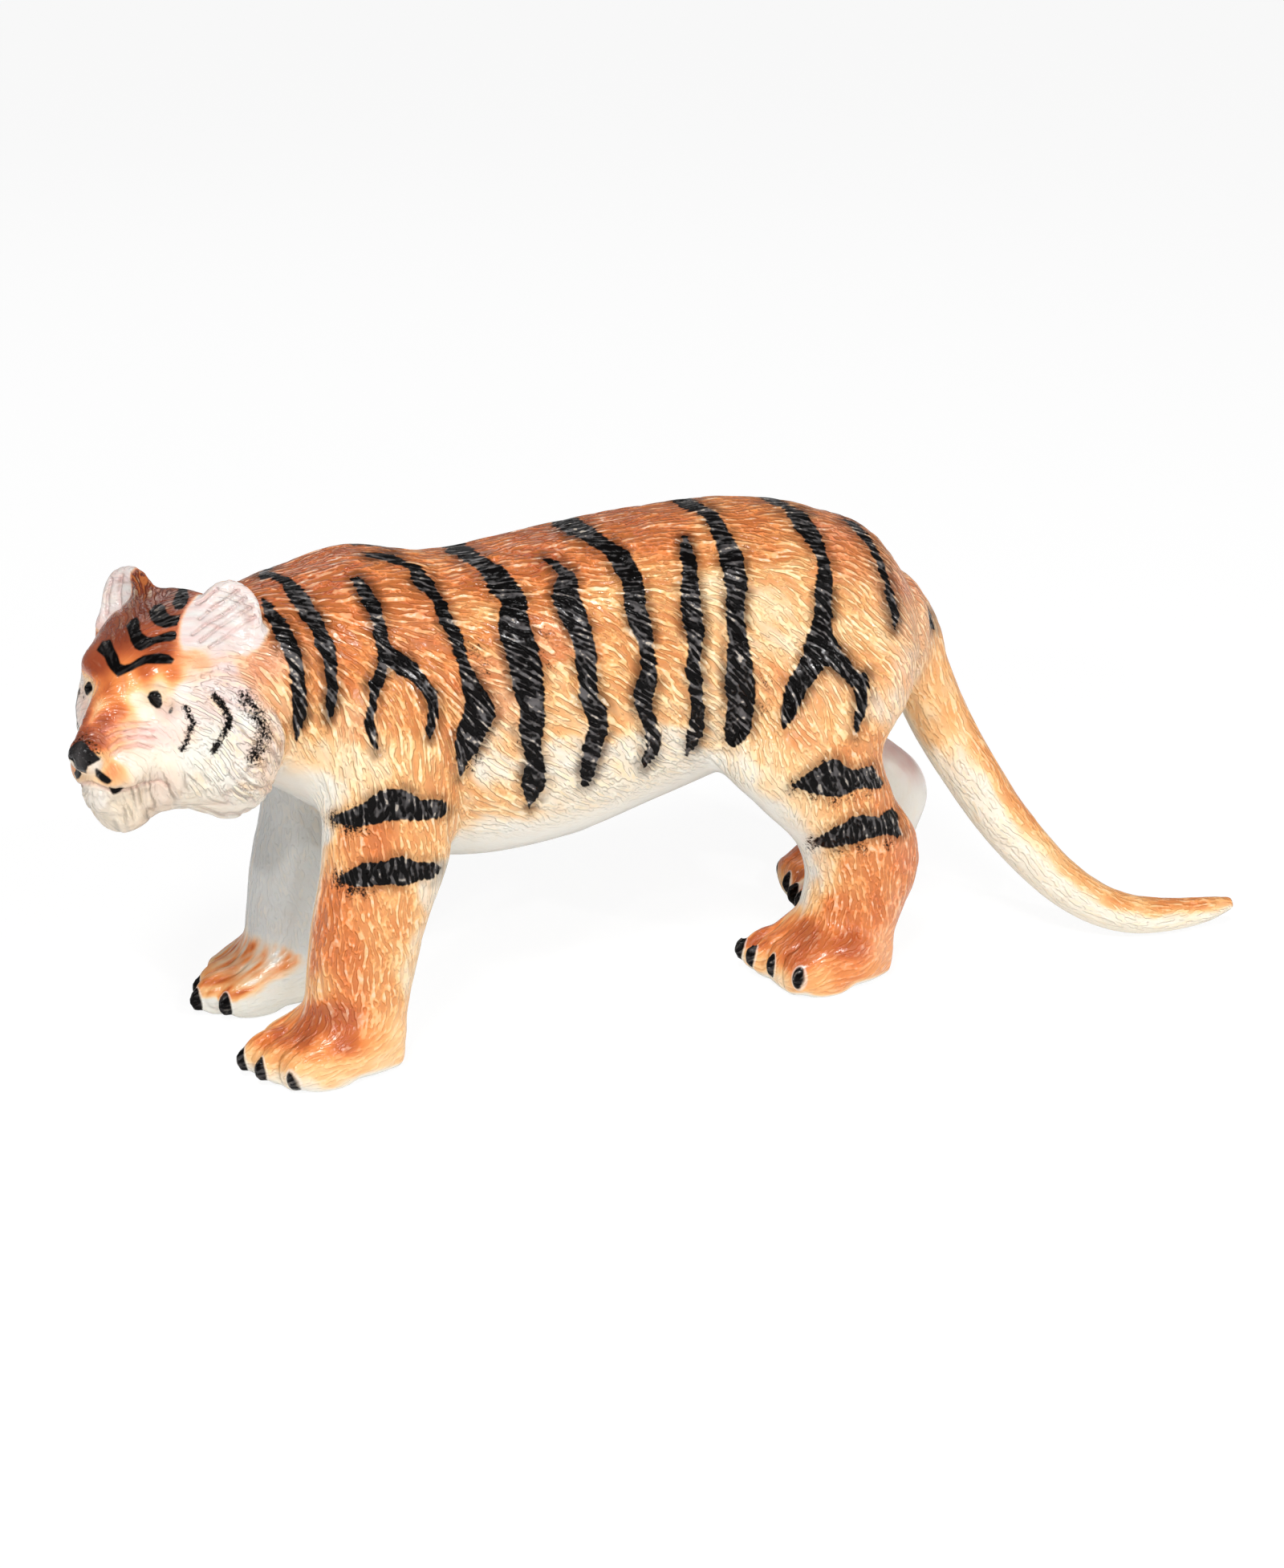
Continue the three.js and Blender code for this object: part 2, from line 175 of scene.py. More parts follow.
def rope(x, y, z, points, radii):
    """A tapering round strand through these points."""
    best = None
    for p, q, r, t in zip(points[:-1], points[1:], radii[:-1], radii[1:]):
        d = [q[i] - p[i] for i in range(3)]
        along = (x - p[0]) * d[0] + (y - p[1]) * d[1] + (z - p[2]) * d[2]
        along = np.clip(along / sum(c * c for c in d), 0, 1)
        off = (x - p[0] - along * d[0]) ** 2 + (y - p[1] - along * d[1]) ** 2 + (z - p[2] - along * d[2]) ** 2
        gap = np.sqrt(off) - (r + (t - r) * along)
        best = gap if best is None else np.minimum(best, gap)
    return best


def trunk_section(x):
    """Middle height, half height, middle line and half width of the trunk."""
    columns = (trunk_top, trunk_bottom, trunk_y, trunk_width)
    top, bottom, middle, width = (through(x, trunk_x, column) for column in columns)
    return (top + bottom) / 2, (top - bottom) / 2, middle, width / 2


def trunk(x, y, z):
    level, tall, middle, wide = trunk_section(x)
    return loft(x, y - middle, z - level, wide, tall, trunk_x, trunk_ends, trunk_square)


def trailing(z):
    """How far the right hind leg is set back at this height."""
    hock = hock_back * ramp(46, 30, z) * ramp(2, 16, z)
    return hindleg_stride * ramp(0, hip_height - ankle_height, hip_height - z) + hock


def leg(x, y, z, side, tables, move):
    places, *columns = tables
    mid, out, long, thick = (through(z, places, column) for column in columns)
    across, along = y - side * (stance / 2 + out), x - (mid + move(z))
    return loft(z, across, along, thick / 2, long / 2, places, leg_ends, leg_square)


def paw(x, y, z, side, heel, middle, tables, toes, spread):
    ahead, width, height = tables
    s = heel - x
    tall = through(s, ahead, height)
    foot = loft(s, y - side * middle, z - (tall - 0.5) / 2, through(s, ahead, width) / 2, (tall + 0.5) / 2,
                ahead, paw_ends, paw_square)
    for tip, off in zip(toes, spread):
        place = (heel - tip + toe_back, side * (middle + 0.9 * off), toe_height)
        foot = union(foot, ball(x, y, z, place, toe_radii), toe_blend)
    return foot


def claws(x, y, z, side, heel, middle, toes, spread):
    claw_z = fore_claw if heel < 0 else hind_claw
    places = [(heel - tip + claw_out, side * (middle + off), claw_z) for tip, off in zip(toes, spread)]
    return np.minimum.reduce([ball(x, y, z, place, claw_radii) for place in places])


def curve_points(points, count):
    points = np.array(points, float)
    places = np.arange(len(points))
    at = np.linspace(0, len(points) - 1, count)
    return np.stack([through(at, places, column) for column in points.T], axis=1)


tail_path = curve_points([(*p, t / 2) for p, t in zip(tail_line, tail_thick)], 60)


def tail(x, y, z):
    return rope(x, y, z, tail_path[:, :3].tolist(), tail_path[:, 3].tolist())


# Head, in its own coordinates: ahead, towards its left, and height
ahead_axis = np.array([-math.cos(head_turn), -math.sin(head_turn)])
left_axis = np.array([math.sin(head_turn), -math.cos(head_turn)])


def head_axes(x, y):
    dx, dy = x - head_centre[0], y - head_centre[1]
    return dx * ahead_axis[0] + dy * ahead_axis[1], dx * left_axis[0] + dy * left_axis[1]


def from_head(a, b, z):
    return [head_centre[i] + a * ahead_axis[i] + b * left_axis[i] for i in (0, 1)] + [z]


skull = ([-8, -2, 5, 12, 18, 23], [103.3, 107.3, 106.8, 104, 99.4, 94.5], [76, 72, 71, 71, 73, 76],
         [25, 33, 35, 32, 26, 17])
snout = ([12, 18, 23, 28, 31.5], [93, 91.3, 88.6, 86, 84], [67, 65, 63.6, 65.0, 69.8],
         [20, 18, 15, 11.6, 7.6])
bridge = ([(13, 0, 96.3), (21, 0, 91.6), (29, 0, 86.6), (33.2, 0, 84.2)], [6.5, 5.2, 4.2, 3.4])
lips = ([(36.2, 0, 79.6), (34.6, 0, 76.0), (32.6, 3.8, 75.0), (28.6, 7.0, 75.2), (24.6, 9.0, 76.6)],
        [0.4, 0.5, 0.5, 0.45, 0.3])
# Centre and radii of the balls that shape the face, most of them on both sides
ruff_ball = (1.5, 10.3, 77.8), ((5.6, 12.5), 13.2, 17.3)
jowl_ball = (8.0, 6.5, 74.5), ((8.0, 13.0), 10.5, 9.5)
brow_ball = (16.2, 6.6, 95.9), (5.5, 4.6, 3.6)
muzzle_ball = (26.6, 3.7, 78.8), (6.0, 4.4, 4.8)
cheek_ball = (12.5, 10.2, 84.0), (6.5, 5.0, 6.0)
socket_ball = (24.0, 10.4, 91.6), (4.2, 4.2, 3.4)
eye_ball = (19.4, 7.9, 91.2), (2.2, 2.4, 2.3)
nose_ball = (34.4, 0, 83.0), (2.9, 3.9, 3.3)
nostril_ball = (36.9, 2.0, 82.4), (1.4, 0.8, 0.7)
# Ears, by the side of the head, with the near one on the left
NEAR, FAR = 1, -1
ear_place = (0.0, 12.0, 103.1)
ear_size = {NEAR: (2.8, (6.2, 7.1), 7.8), FAR: (2.8, (7.8, 8.2), 7.9)}
ear_roots = {
    NEAR: [((-0.6, -3.0, -4.3), (3.4, 3.4, 6.2)), ((0.2, 1.3, -6.0), (3.4, 4.0, 4.2))],
    FAR: [((-0.6, -4.9, -4.3), (3.4, 3.4, 6.2)), ((0.2, 2.6, -6.6), (3.6, 5.0, 4.6))],
}
ear_hollow = ((3.3, 0.4, -0.6), (3.1, 6.2, 7.6))
ear_outward, ear_lean = math.radians(16), math.radians(14)


def head_loft(a, b, z, tables, ends):
    ahead, *columns = tables
    high, low, width = (through(a, ahead, column) for column in columns)
    return loft(a, b, z - (high + low) / 2, width / 2, (high - low) / 2, ahead, ends, head_square)


def ear_axes(a, b, z, side):
    """Coordinates of one ear: out of its opening, across it and up it."""
    da, db, dz = a - ear_place[0], side * b - ear_place[1], z - ear_place[2]
    c, s = math.cos(ear_outward), math.sin(ear_outward)
    u, v = da * c + db * s, -da * s + db * c
    c, s = math.cos(ear_lean), math.sin(ear_lean)
    return u * c + dz * s, v, -u * s + dz * c


def ear(a, b, z, side):
    u, v, w = ear_axes(a, b, z, side)
    lobe = ball(u, v, w, (0, 0, 0), ear_size[side])
    for root in ear_roots[side]:
        lobe = union(lobe, ball(u, v, w, *root), root_blend)
    return carve(lobe, ball(u, v, w, *ear_hollow), 1.0)


def head(a, b, z):
    side = np.abs(b)
    form = head_loft(a, b, z, skull, skull_ends)
    ruff_form = union(ball(a, side, z, *ruff_ball), ball(a, side, z, *jowl_ball), 4.0)
    form = union(form, ruff_form, 4.0)
    form = union(form, head_loft(a, b, z, snout, snout_ends), 5.0)
    form = union(form, rope(a, b, z, *bridge), 4.0)
    for shape, soft in ((brow_ball, 4.5), (muzzle_ball, 3.0), (cheek_ball, 4.0)):
        form = union(form, ball(a, side, z, *shape), soft)
    form = carve(form, ball(a, side, z, *socket_ball), 3.5)
    form = union(form, ball(a, side, z, *eye_ball), 1.2)
    form = union(form, ball(a, b, z, *nose_ball), 1.0)
    form = carve(form, ball(a, side, z, *nostril_ball), 0.8)
    return carve(form, rope(a, side, z, *lips), 1.0)


# Clay: one field on a grid, from which the skin is taken
pitch = 0.8
grid_low = np.array([-137.0, -45.0, -3.0])
grid_high = np.array([152.0, 41.0, 117.0])
counts = np.ceil((grid_high - grid_low) / pitch).astype(int) + 1
grid_axes = [grid_low[i] + pitch * np.arange(counts[i]) for i in range(3)]
outside = 4.0
clay = np.full(counts, outside)


def window(low, high):
    first = [max(0, int((low[i] - grid_low[i]) / pitch)) for i in range(3)]
    last = [min(counts[i], int((high[i] - grid_low[i]) / pitch) + 2) for i in range(3)]
    cells = tuple(slice(f, l) for f, l in zip(first, last))
    x, y, z = (grid_axes[i][cells[i]] for i in range(3))
    return cells, x[:, None, None], y[None, :, None], z[None, None, :]


def add_clay(form, low, high, soft):
    cells, x, y, z = window(low, high)
    clay[cells] = union(clay[cells], form(x, y, z), soft)


LEFT, RIGHT = -1, 1


def no_shift(z):
    return 0.0


def lead(z):
    return -foreleg_lead


fore_tables = (fore_z, fore_x, fore_out, fore_long, fore_thick)
hind_tables = (hind_z, hind_x, hind_out, hind_long, hind_thick)
fore_paw, hind_paw = (fore_foot, fore_toes, fore_spread), (hind_foot, hind_toes, hind_spread)
fore_middle, hind_middle, far_middle = stance / 2, stance / 2 + hind_foot_out, stance / 2 - far_foot_in
legs = {
    "foreleg_left": (LEFT, fore_tables, no_shift, fore_heel, fore_middle, *fore_paw),
    "foreleg_right": (RIGHT, fore_tables, lead, fore_heel - foreleg_lead, fore_middle, *fore_paw),
    "hindleg_left": (LEFT, hind_tables, no_shift, hind_heel, hind_middle, *hind_paw),
    "hindleg_right": (RIGHT, hind_tables, trailing, hind_heel + hindleg_stride, far_middle, *hind_paw),
}


def whole_leg(x, y, z, side, tables, move, heel, middle, foot, toes, spread):
    whole_paw = paw(x, y, z, side, heel, middle, foot, toes, spread)
    form = union(leg(x, y, z, side, tables, move), whole_paw, paw_blend)
    return union(form, claws(x, y, z, side, heel, middle, toes, spread), claw_blend)


def head_and_ears(x, y, z):
    a, b = head_axes(x, y)
    form = head(a, b, z)
    for side in (NEAR, FAR):
        form = union(form, ear(a, b, z, side), ear_blend)
    return form


# Each form goes into a window of the grid, with its low and high corners
leg_sides = {LEFT: (-38, -3), RIGHT: (3, 38)}
leg_top, under_floor = 100, -3
add_clay(trunk, (-105, -30, 35), (80, 30, 113), trunk_blend)
for name, (side, tables, move, heel, *_) in legs.items():
    inner, outer = leg_sides[side]
    reach = max(m + l / 2 for m, l in zip(tables[1], tables[3])) + 5
    low = (min(heel - 38, min(tables[1]) - 22), inner, under_floor)
    high = (max(reach, heel + 8), outer, leg_top)
    add_clay(lambda x, y, z: whole_leg(x, y, z, *legs[name]), low, high, limb_blend)
add_clay(tail, (50, -43, -2), (151, 12, 92), limb_blend)
add_clay(head_and_ears, (-136, -45, 55), (-75, 25, 116), head_blend)
clay = np.maximum(clay, -grid_axes[2][None, None, :])


def skin_of(field, step):
    """Corners and quads of the surface where this field is 0."""
    grid = openvdb.FloatGrid(outside)
    grid.copyFromArray(np.clip(field, -outside, outside))
    corners, faces = grid.convertToQuads(0.0)
    return np.array(corners) * step + grid_low, np.array(faces)


points, quads = skin_of(clay, pitch)


# Finer skin: every quad becomes four, with the corners of the cage rounded off
def summed(at, rows, count):
    """Sums of the rows that belong to each number."""
    return np.stack([np.bincount(at, column, minlength=count) for column in rows.T], axis=1)


def edges_of(faces, size):
    """Directed edges, and one number for each that is the same in both directions."""
    edges = np.stack([faces, np.roll(faces, -1, axis=1)], axis=2).reshape(-1, 2)
    ends = np.sort(edges, axis=1)
    return edges, ends[:, 0].astype(np.int64) * size + ends[:, 1]


def finer(points, quads):
    corners, size = quads.ravel(), len(points)
    unique, which = np.unique(edges_of(quads, size)[1], return_inverse=True)
    ends = np.stack([unique // size, unique % size], axis=1)
    middles = points[quads].mean(axis=1)
    by_corner = np.repeat(middles, 4, axis=0)
    uses = np.bincount(which.ravel(), minlength=len(unique))[:, None]
    rims = (points[ends].sum(axis=1) + summed(which.ravel(), by_corner, len(unique))) / (2 + uses)
    near = summed(corners, by_corner, size) / np.bincount(corners, minlength=size)[:, None]
    spokes = np.bincount(ends.ravel(), minlength=size)[:, None]
    beside = summed(ends.ravel(), np.repeat(points[ends].mean(axis=1), 2, axis=0), size) / spokes
    moved = (near + 2 * beside + (spokes - 3) * points) / spokes
    middle_at = size + np.arange(len(quads))
    rim_at = size + len(quads) + which.reshape(len(quads), 4)
    split = [np.stack([quads[:, i], rim_at[:, i], middle_at, rim_at[:, i - 1]], axis=1) for i in range(4)]
    return np.concatenate([moved, middles, rims]), np.stack(split, axis=1).reshape(-1, 4)


points, quads = finer(points, quads)
part_names = ["trunk_skin", "head_skin", "ear_left", "ear_right", *legs, "tail"]
ear_claim = 0.9
label_rounds = 6


# Parts: each face belongs to the form whose surface is nearest
def part_distances(p):
    """Distances from the parts, in the order of their names."""
    x, y, z = p.T
    a, b = head_axes(x, y)
    ears = [ear(a, b, z, NEAR), ear(a, b, z, FAR)]
    found = [trunk(x, y, z), head(a, b, z), *ears, *(whole_leg(x, y, z, *limb) for limb in legs.values())]
    return np.stack([*found, tail(x, y, z)], axis=1)


def face_parts(points, quads, scores):
    claimed = scores - ear_claim * np.array([n.startswith("ear") for n in part_names])
    labels = np.argmin(claimed[quads].mean(axis=1), axis=1)
    for _ in range(label_rounds):
        votes = np.zeros((len(points), len(part_names)))
        for i in range(4):
            np.add.at(votes, (quads[:, i], labels), 1)
        labels = np.argmax(votes[quads].sum(axis=1), axis=1)
    return labels


def corner_normals(points, quads):
    across = np.cross(points[quads[:, 2]] - points[quads[:, 0]], points[quads[:, 3]] - points[quads[:, 1]])
    return unit(sum(summed(quads[:, i], across, len(points)) for i in range(4)))


scores = part_distances(points)
labels = face_parts(points, quads, scores)
normals = corner_normals(points, quads)
if np.sum(normals * (points - points.mean(axis=0))) < 0:
    quads = quads[:, ::-1]
    normals = -normals

# Where each point of the skin lies in the photograph, or its mirror image does
photo_width, photo_height = 1600, 1954
lens, sensor = 60, 36
photo_focus = lens / sensor * photo_height
photo_middle = (photo_width / 2, photo_height / 2)
pixels_per_mm = 5.3
camera_turn, camera_rise = math.radians(-24), math.radians(21)
camera_target = np.array([0.0, -9.5, 50.0])
camera_distance = 590
camera_right = np.array([math.cos(camera_turn), math.sin(camera_turn), 0.0])
camera_back = np.array([
    math.sin(camera_turn) * math.cos(camera_rise),
    -math.cos(camera_turn) * math.cos(camera_rise),
    math.sin(camera_rise),
])
camera_up = np.cross(camera_back, camera_right)
camera_place = camera_target + camera_back * camera_distance


def in_photo(p):
    from_camera = p - camera_place
    depth = -from_camera @ camera_back
    return np.stack([
        photo_middle[0] + photo_focus * (from_camera @ camera_right) / depth,
        photo_middle[1] - photo_focus * (from_camera @ camera_up) / depth,
    ], axis=1)


x, y, z = points.T
head_a, head_b = head_axes(x, y)
share_reach, share_end = 2.0, 30
nearness = [np.exp(-np.clip(score, 0, share_end) / share_reach) for score in scores.T]
share = {n: near / sum(nearness) for n, near in zip(part_names, nearness)}
leg_share = sum(share[n] for n in legs)
rear_share = share["hindleg_left"] + share["hindleg_right"]
ear_share = share["ear_left"] + share["ear_right"]
head_share = share["head_skin"] + share["ear_left"] + share["ear_right"]

# The body's right side is painted like its left, and the hidden half of the face like the other
mirrored = points.copy()
right_side = y > 0
mirrored[:, 1] = np.where(right_side, -y, y)
right_rear = share["hindleg_right"] / (share["hindleg_right"] + share["trunk_skin"] + 1e-6)
mirrored[:, 0] -= np.where(right_side, trailing(z) * right_rear, 0)
body_place = in_photo(mirrored)
facing = normals @ camera_back
own, other = in_photo(points), in_photo(np.stack(from_head(head_a, np.abs(head_b), z), axis=1))
shown = np.where(head_b < 0, ramp(93.0, 96.5, z) * ramp(-0.1, 0.14, facing), 1)
head_place = np.where(shown[:, None] < 0.5, other, own)

# Random values, the same in every run
table_size, seed_step = 48, 17.3
random_table = np.random.default_rng(7).random((table_size,) * 3).astype(np.float32) * 2 - 1


def noise(p, size, seed=0):
    q = p / size + seed * seed_step
    cell = np.floor(q).astype(np.int64)
    f = (q - cell).astype(np.float32)
    f = f * f * (3 - 2 * f)
    total = 0
    for i in (0, 1):
        for j in (0, 1):
            for k in (0, 1):
                w = (f[:, 0] if i else 1 - f[:, 0]) * (f[:, 1] if j else 1 - f[:, 1])
                w = w * (f[:, 2] if k else 1 - f[:, 2])
                total = total + w * random_table[tuple(((cell + (i, j, k)) % table_size).T)]
    return total


def streaks(p, flow, size, reach, seed):
    """Noise drawn out along the flow, so that it reads as locks of fur."""
    taps = max(5, int(2 * reach / (0.7 * size)) | 1)
    total, weight = 0, 0
    for s in np.linspace(-1, 1, taps):
        w = 1 - abs(s) ** 2 * 0.8
        total = total + w * noise(p + flow * (s * reach), size, seed)
        weight += w
    total = total / weight
    return total / total.std()


# Lie of the fur
slant = 10 + 28 * ramp(104, 92, z) + 14 * ramp(10, 45, x) * ramp(100, 80, z)
slant = np.radians(slant + 22 * ramp(-50, -75, x) * ramp(100, 85, z))
lie = np.stack([np.cos(slant), np.zeros_like(x), -np.sin(slant)], axis=1)
down, toward_toes, thigh = np.array([(0.12, 0, -1.0), (-1.0, 0, -0.25), (0.45, 0, -0.9)])
on_foot = ramp(17, 9, z)[:, None]
leg_lie = down * (1 - on_foot) + toward_toes * on_foot
rear_high = (ramp(38, 60, z) * rear_share / (leg_share + 1e-6))[:, None]
leg_lie = leg_lie * (1 - rear_high) + thigh * rear_high
tail_steps = np.diff(tail_path[:, :3], axis=0)
from_tail = ((points[:, None, ::2] - tail_path[None, :-1:3, ::2]) ** 2).sum(axis=2)
tail_lie = unit(tail_steps[np.argmin(from_tail, axis=1) * 3])
cheek = ramp(20, 4, head_a)
head_lie = (-0.75 - 0.1 * cheek)[:, None] * np.array([*ahead_axis, 0])
head_lie += (np.sign(head_b) * (0.35 + 0.2 * cheek))[:, None] * np.array([*left_axis, 0])
head_lie[:, 2] = -0.15 - 0.65 * ramp(98, 84, z) - 0.7 * ramp(84, 76, z)
flow = (
    lie * share["trunk_skin"][:, None]
    + leg_lie * leg_share[:, None]
    + tail_lie * share["tail"][:, None]
    + head_lie * head_share[:, None]
)
flow -= normals * (flow * normals).sum(axis=1, keepdims=True)
flow = unit(flow, 1e-6)
wander = 0.35 * noise(points, 5.0, 3)[:, None]
flow = flow * np.sqrt(1 - wander**2) + np.cross(normals, flow) * wander
broad = streaks(points, flow, 1.15, 2.8, 2)
locks = streaks(points, flow, 1.9, 6.0, 4)

# Heights and depths in the mesh, in millimetres
strand_height, lock_height, ear_lock_height, ridge_height = 0.6, 0.6, 0.07, 0.22
toe_depth, crease_depth, seat_depth = 0.35, 0.34, 1.5

# How furry the skin is, with what makes it smoother
outward = np.where(y < 0, -1, 1) * normals[:, 1]
leg_outside = ramp(-0.35, 0.15, outward - 0.5 * share["foreleg_right"])
low_leg = ramp(74, 60, z)
fur = 1 - ramp(-0.35, -0.7, normals[:, 2])
for smoother in (
    (0.95 - 0.3 * share["foreleg_right"]) * leg_share * (1 - leg_outside) * ramp(80, 66, z),
    ramp(-70, -80, x) * ramp(78, 68, z) * share["trunk_skin"],
    0.45 * share["tail"],
    leg_share * low_leg * (0.3 + 0.35 * ramp(20, 11, z)),
    0.75 * share["head_skin"] * ramp(92, 98, z),
    0.75 * (share["head_skin"] * ramp(12, 22, head_a)),
):
    fur = fur * (1 - smoother)
stroke = (0.75 - 0.25 * leg_share * low_leg - 0.2 * share["tail"])[:, None]
ruff = share["head_skin"] * ramp(17, 8, head_a) * ramp(98, 90, z)
cheek_low = ramp(88, 80, z)
strands = fur * (0.10 * broad - 0.20 * bell(broad / 0.55)) * (1 - 0.6 * ear_share) * (1 - ruff)
relief = strand_height * strands
lock_crease = bell(locks / 0.6)
chin = share["head_skin"] * ramp(12, 20, head_a) * ramp(80, 75, z)
wavy = chin * (0.12 * locks - 0.2 * lock_crease)
wavy += ruff * (0.22 * locks - (0.5 + 0.16 * cheek_low) * lock_crease)
relief += lock_height * wavy
carved = 0.4 * strands + 1.1 * wavy + chin * ramp(79, 73, z) * (0.25 * locks - 0.3 * lock_crease)

# Parting lines of the mould down the front and rear edges of the legs, and grooves between the toes
seam, toe_groove = np.zeros(len(points)), np.zeros(len(points))
for name, (side, tables, move, heel, middle, foot, toes, spread) in legs.items():
    edge_y = side * (stance / 2 + through(z, tables[0], tables[2]))
    seam += share[name] * bell((y - edge_y) / 0.55)
    off = side * y - middle
    for a, b in zip(spread[:-1], spread[1:]):
        toe_groove += share[name] * bell((off - 0.45 * (a + b)) / 0.65) * ramp(17, 25, heel - x)
seam *= ramp(0.7, 0.9, np.abs(normals[:, 0])) * ramp(9, 14, z) * ramp(74, 64, z)
toe_groove *= ramp(14, 10, z) * ramp(0.5, 2.0, z)
relief += ridge_height * seam * (0.7 + 0.3 * broad)
relief -= toe_depth * toe_groove
carved -= 0.5 * toe_groove


# Marks, as outlines and lines in the photograph's pixels, across and down in turn
def as_outlines(marks):
    return {name: np.reshape(row, (-1, 2)) for name, row in marks.items()}


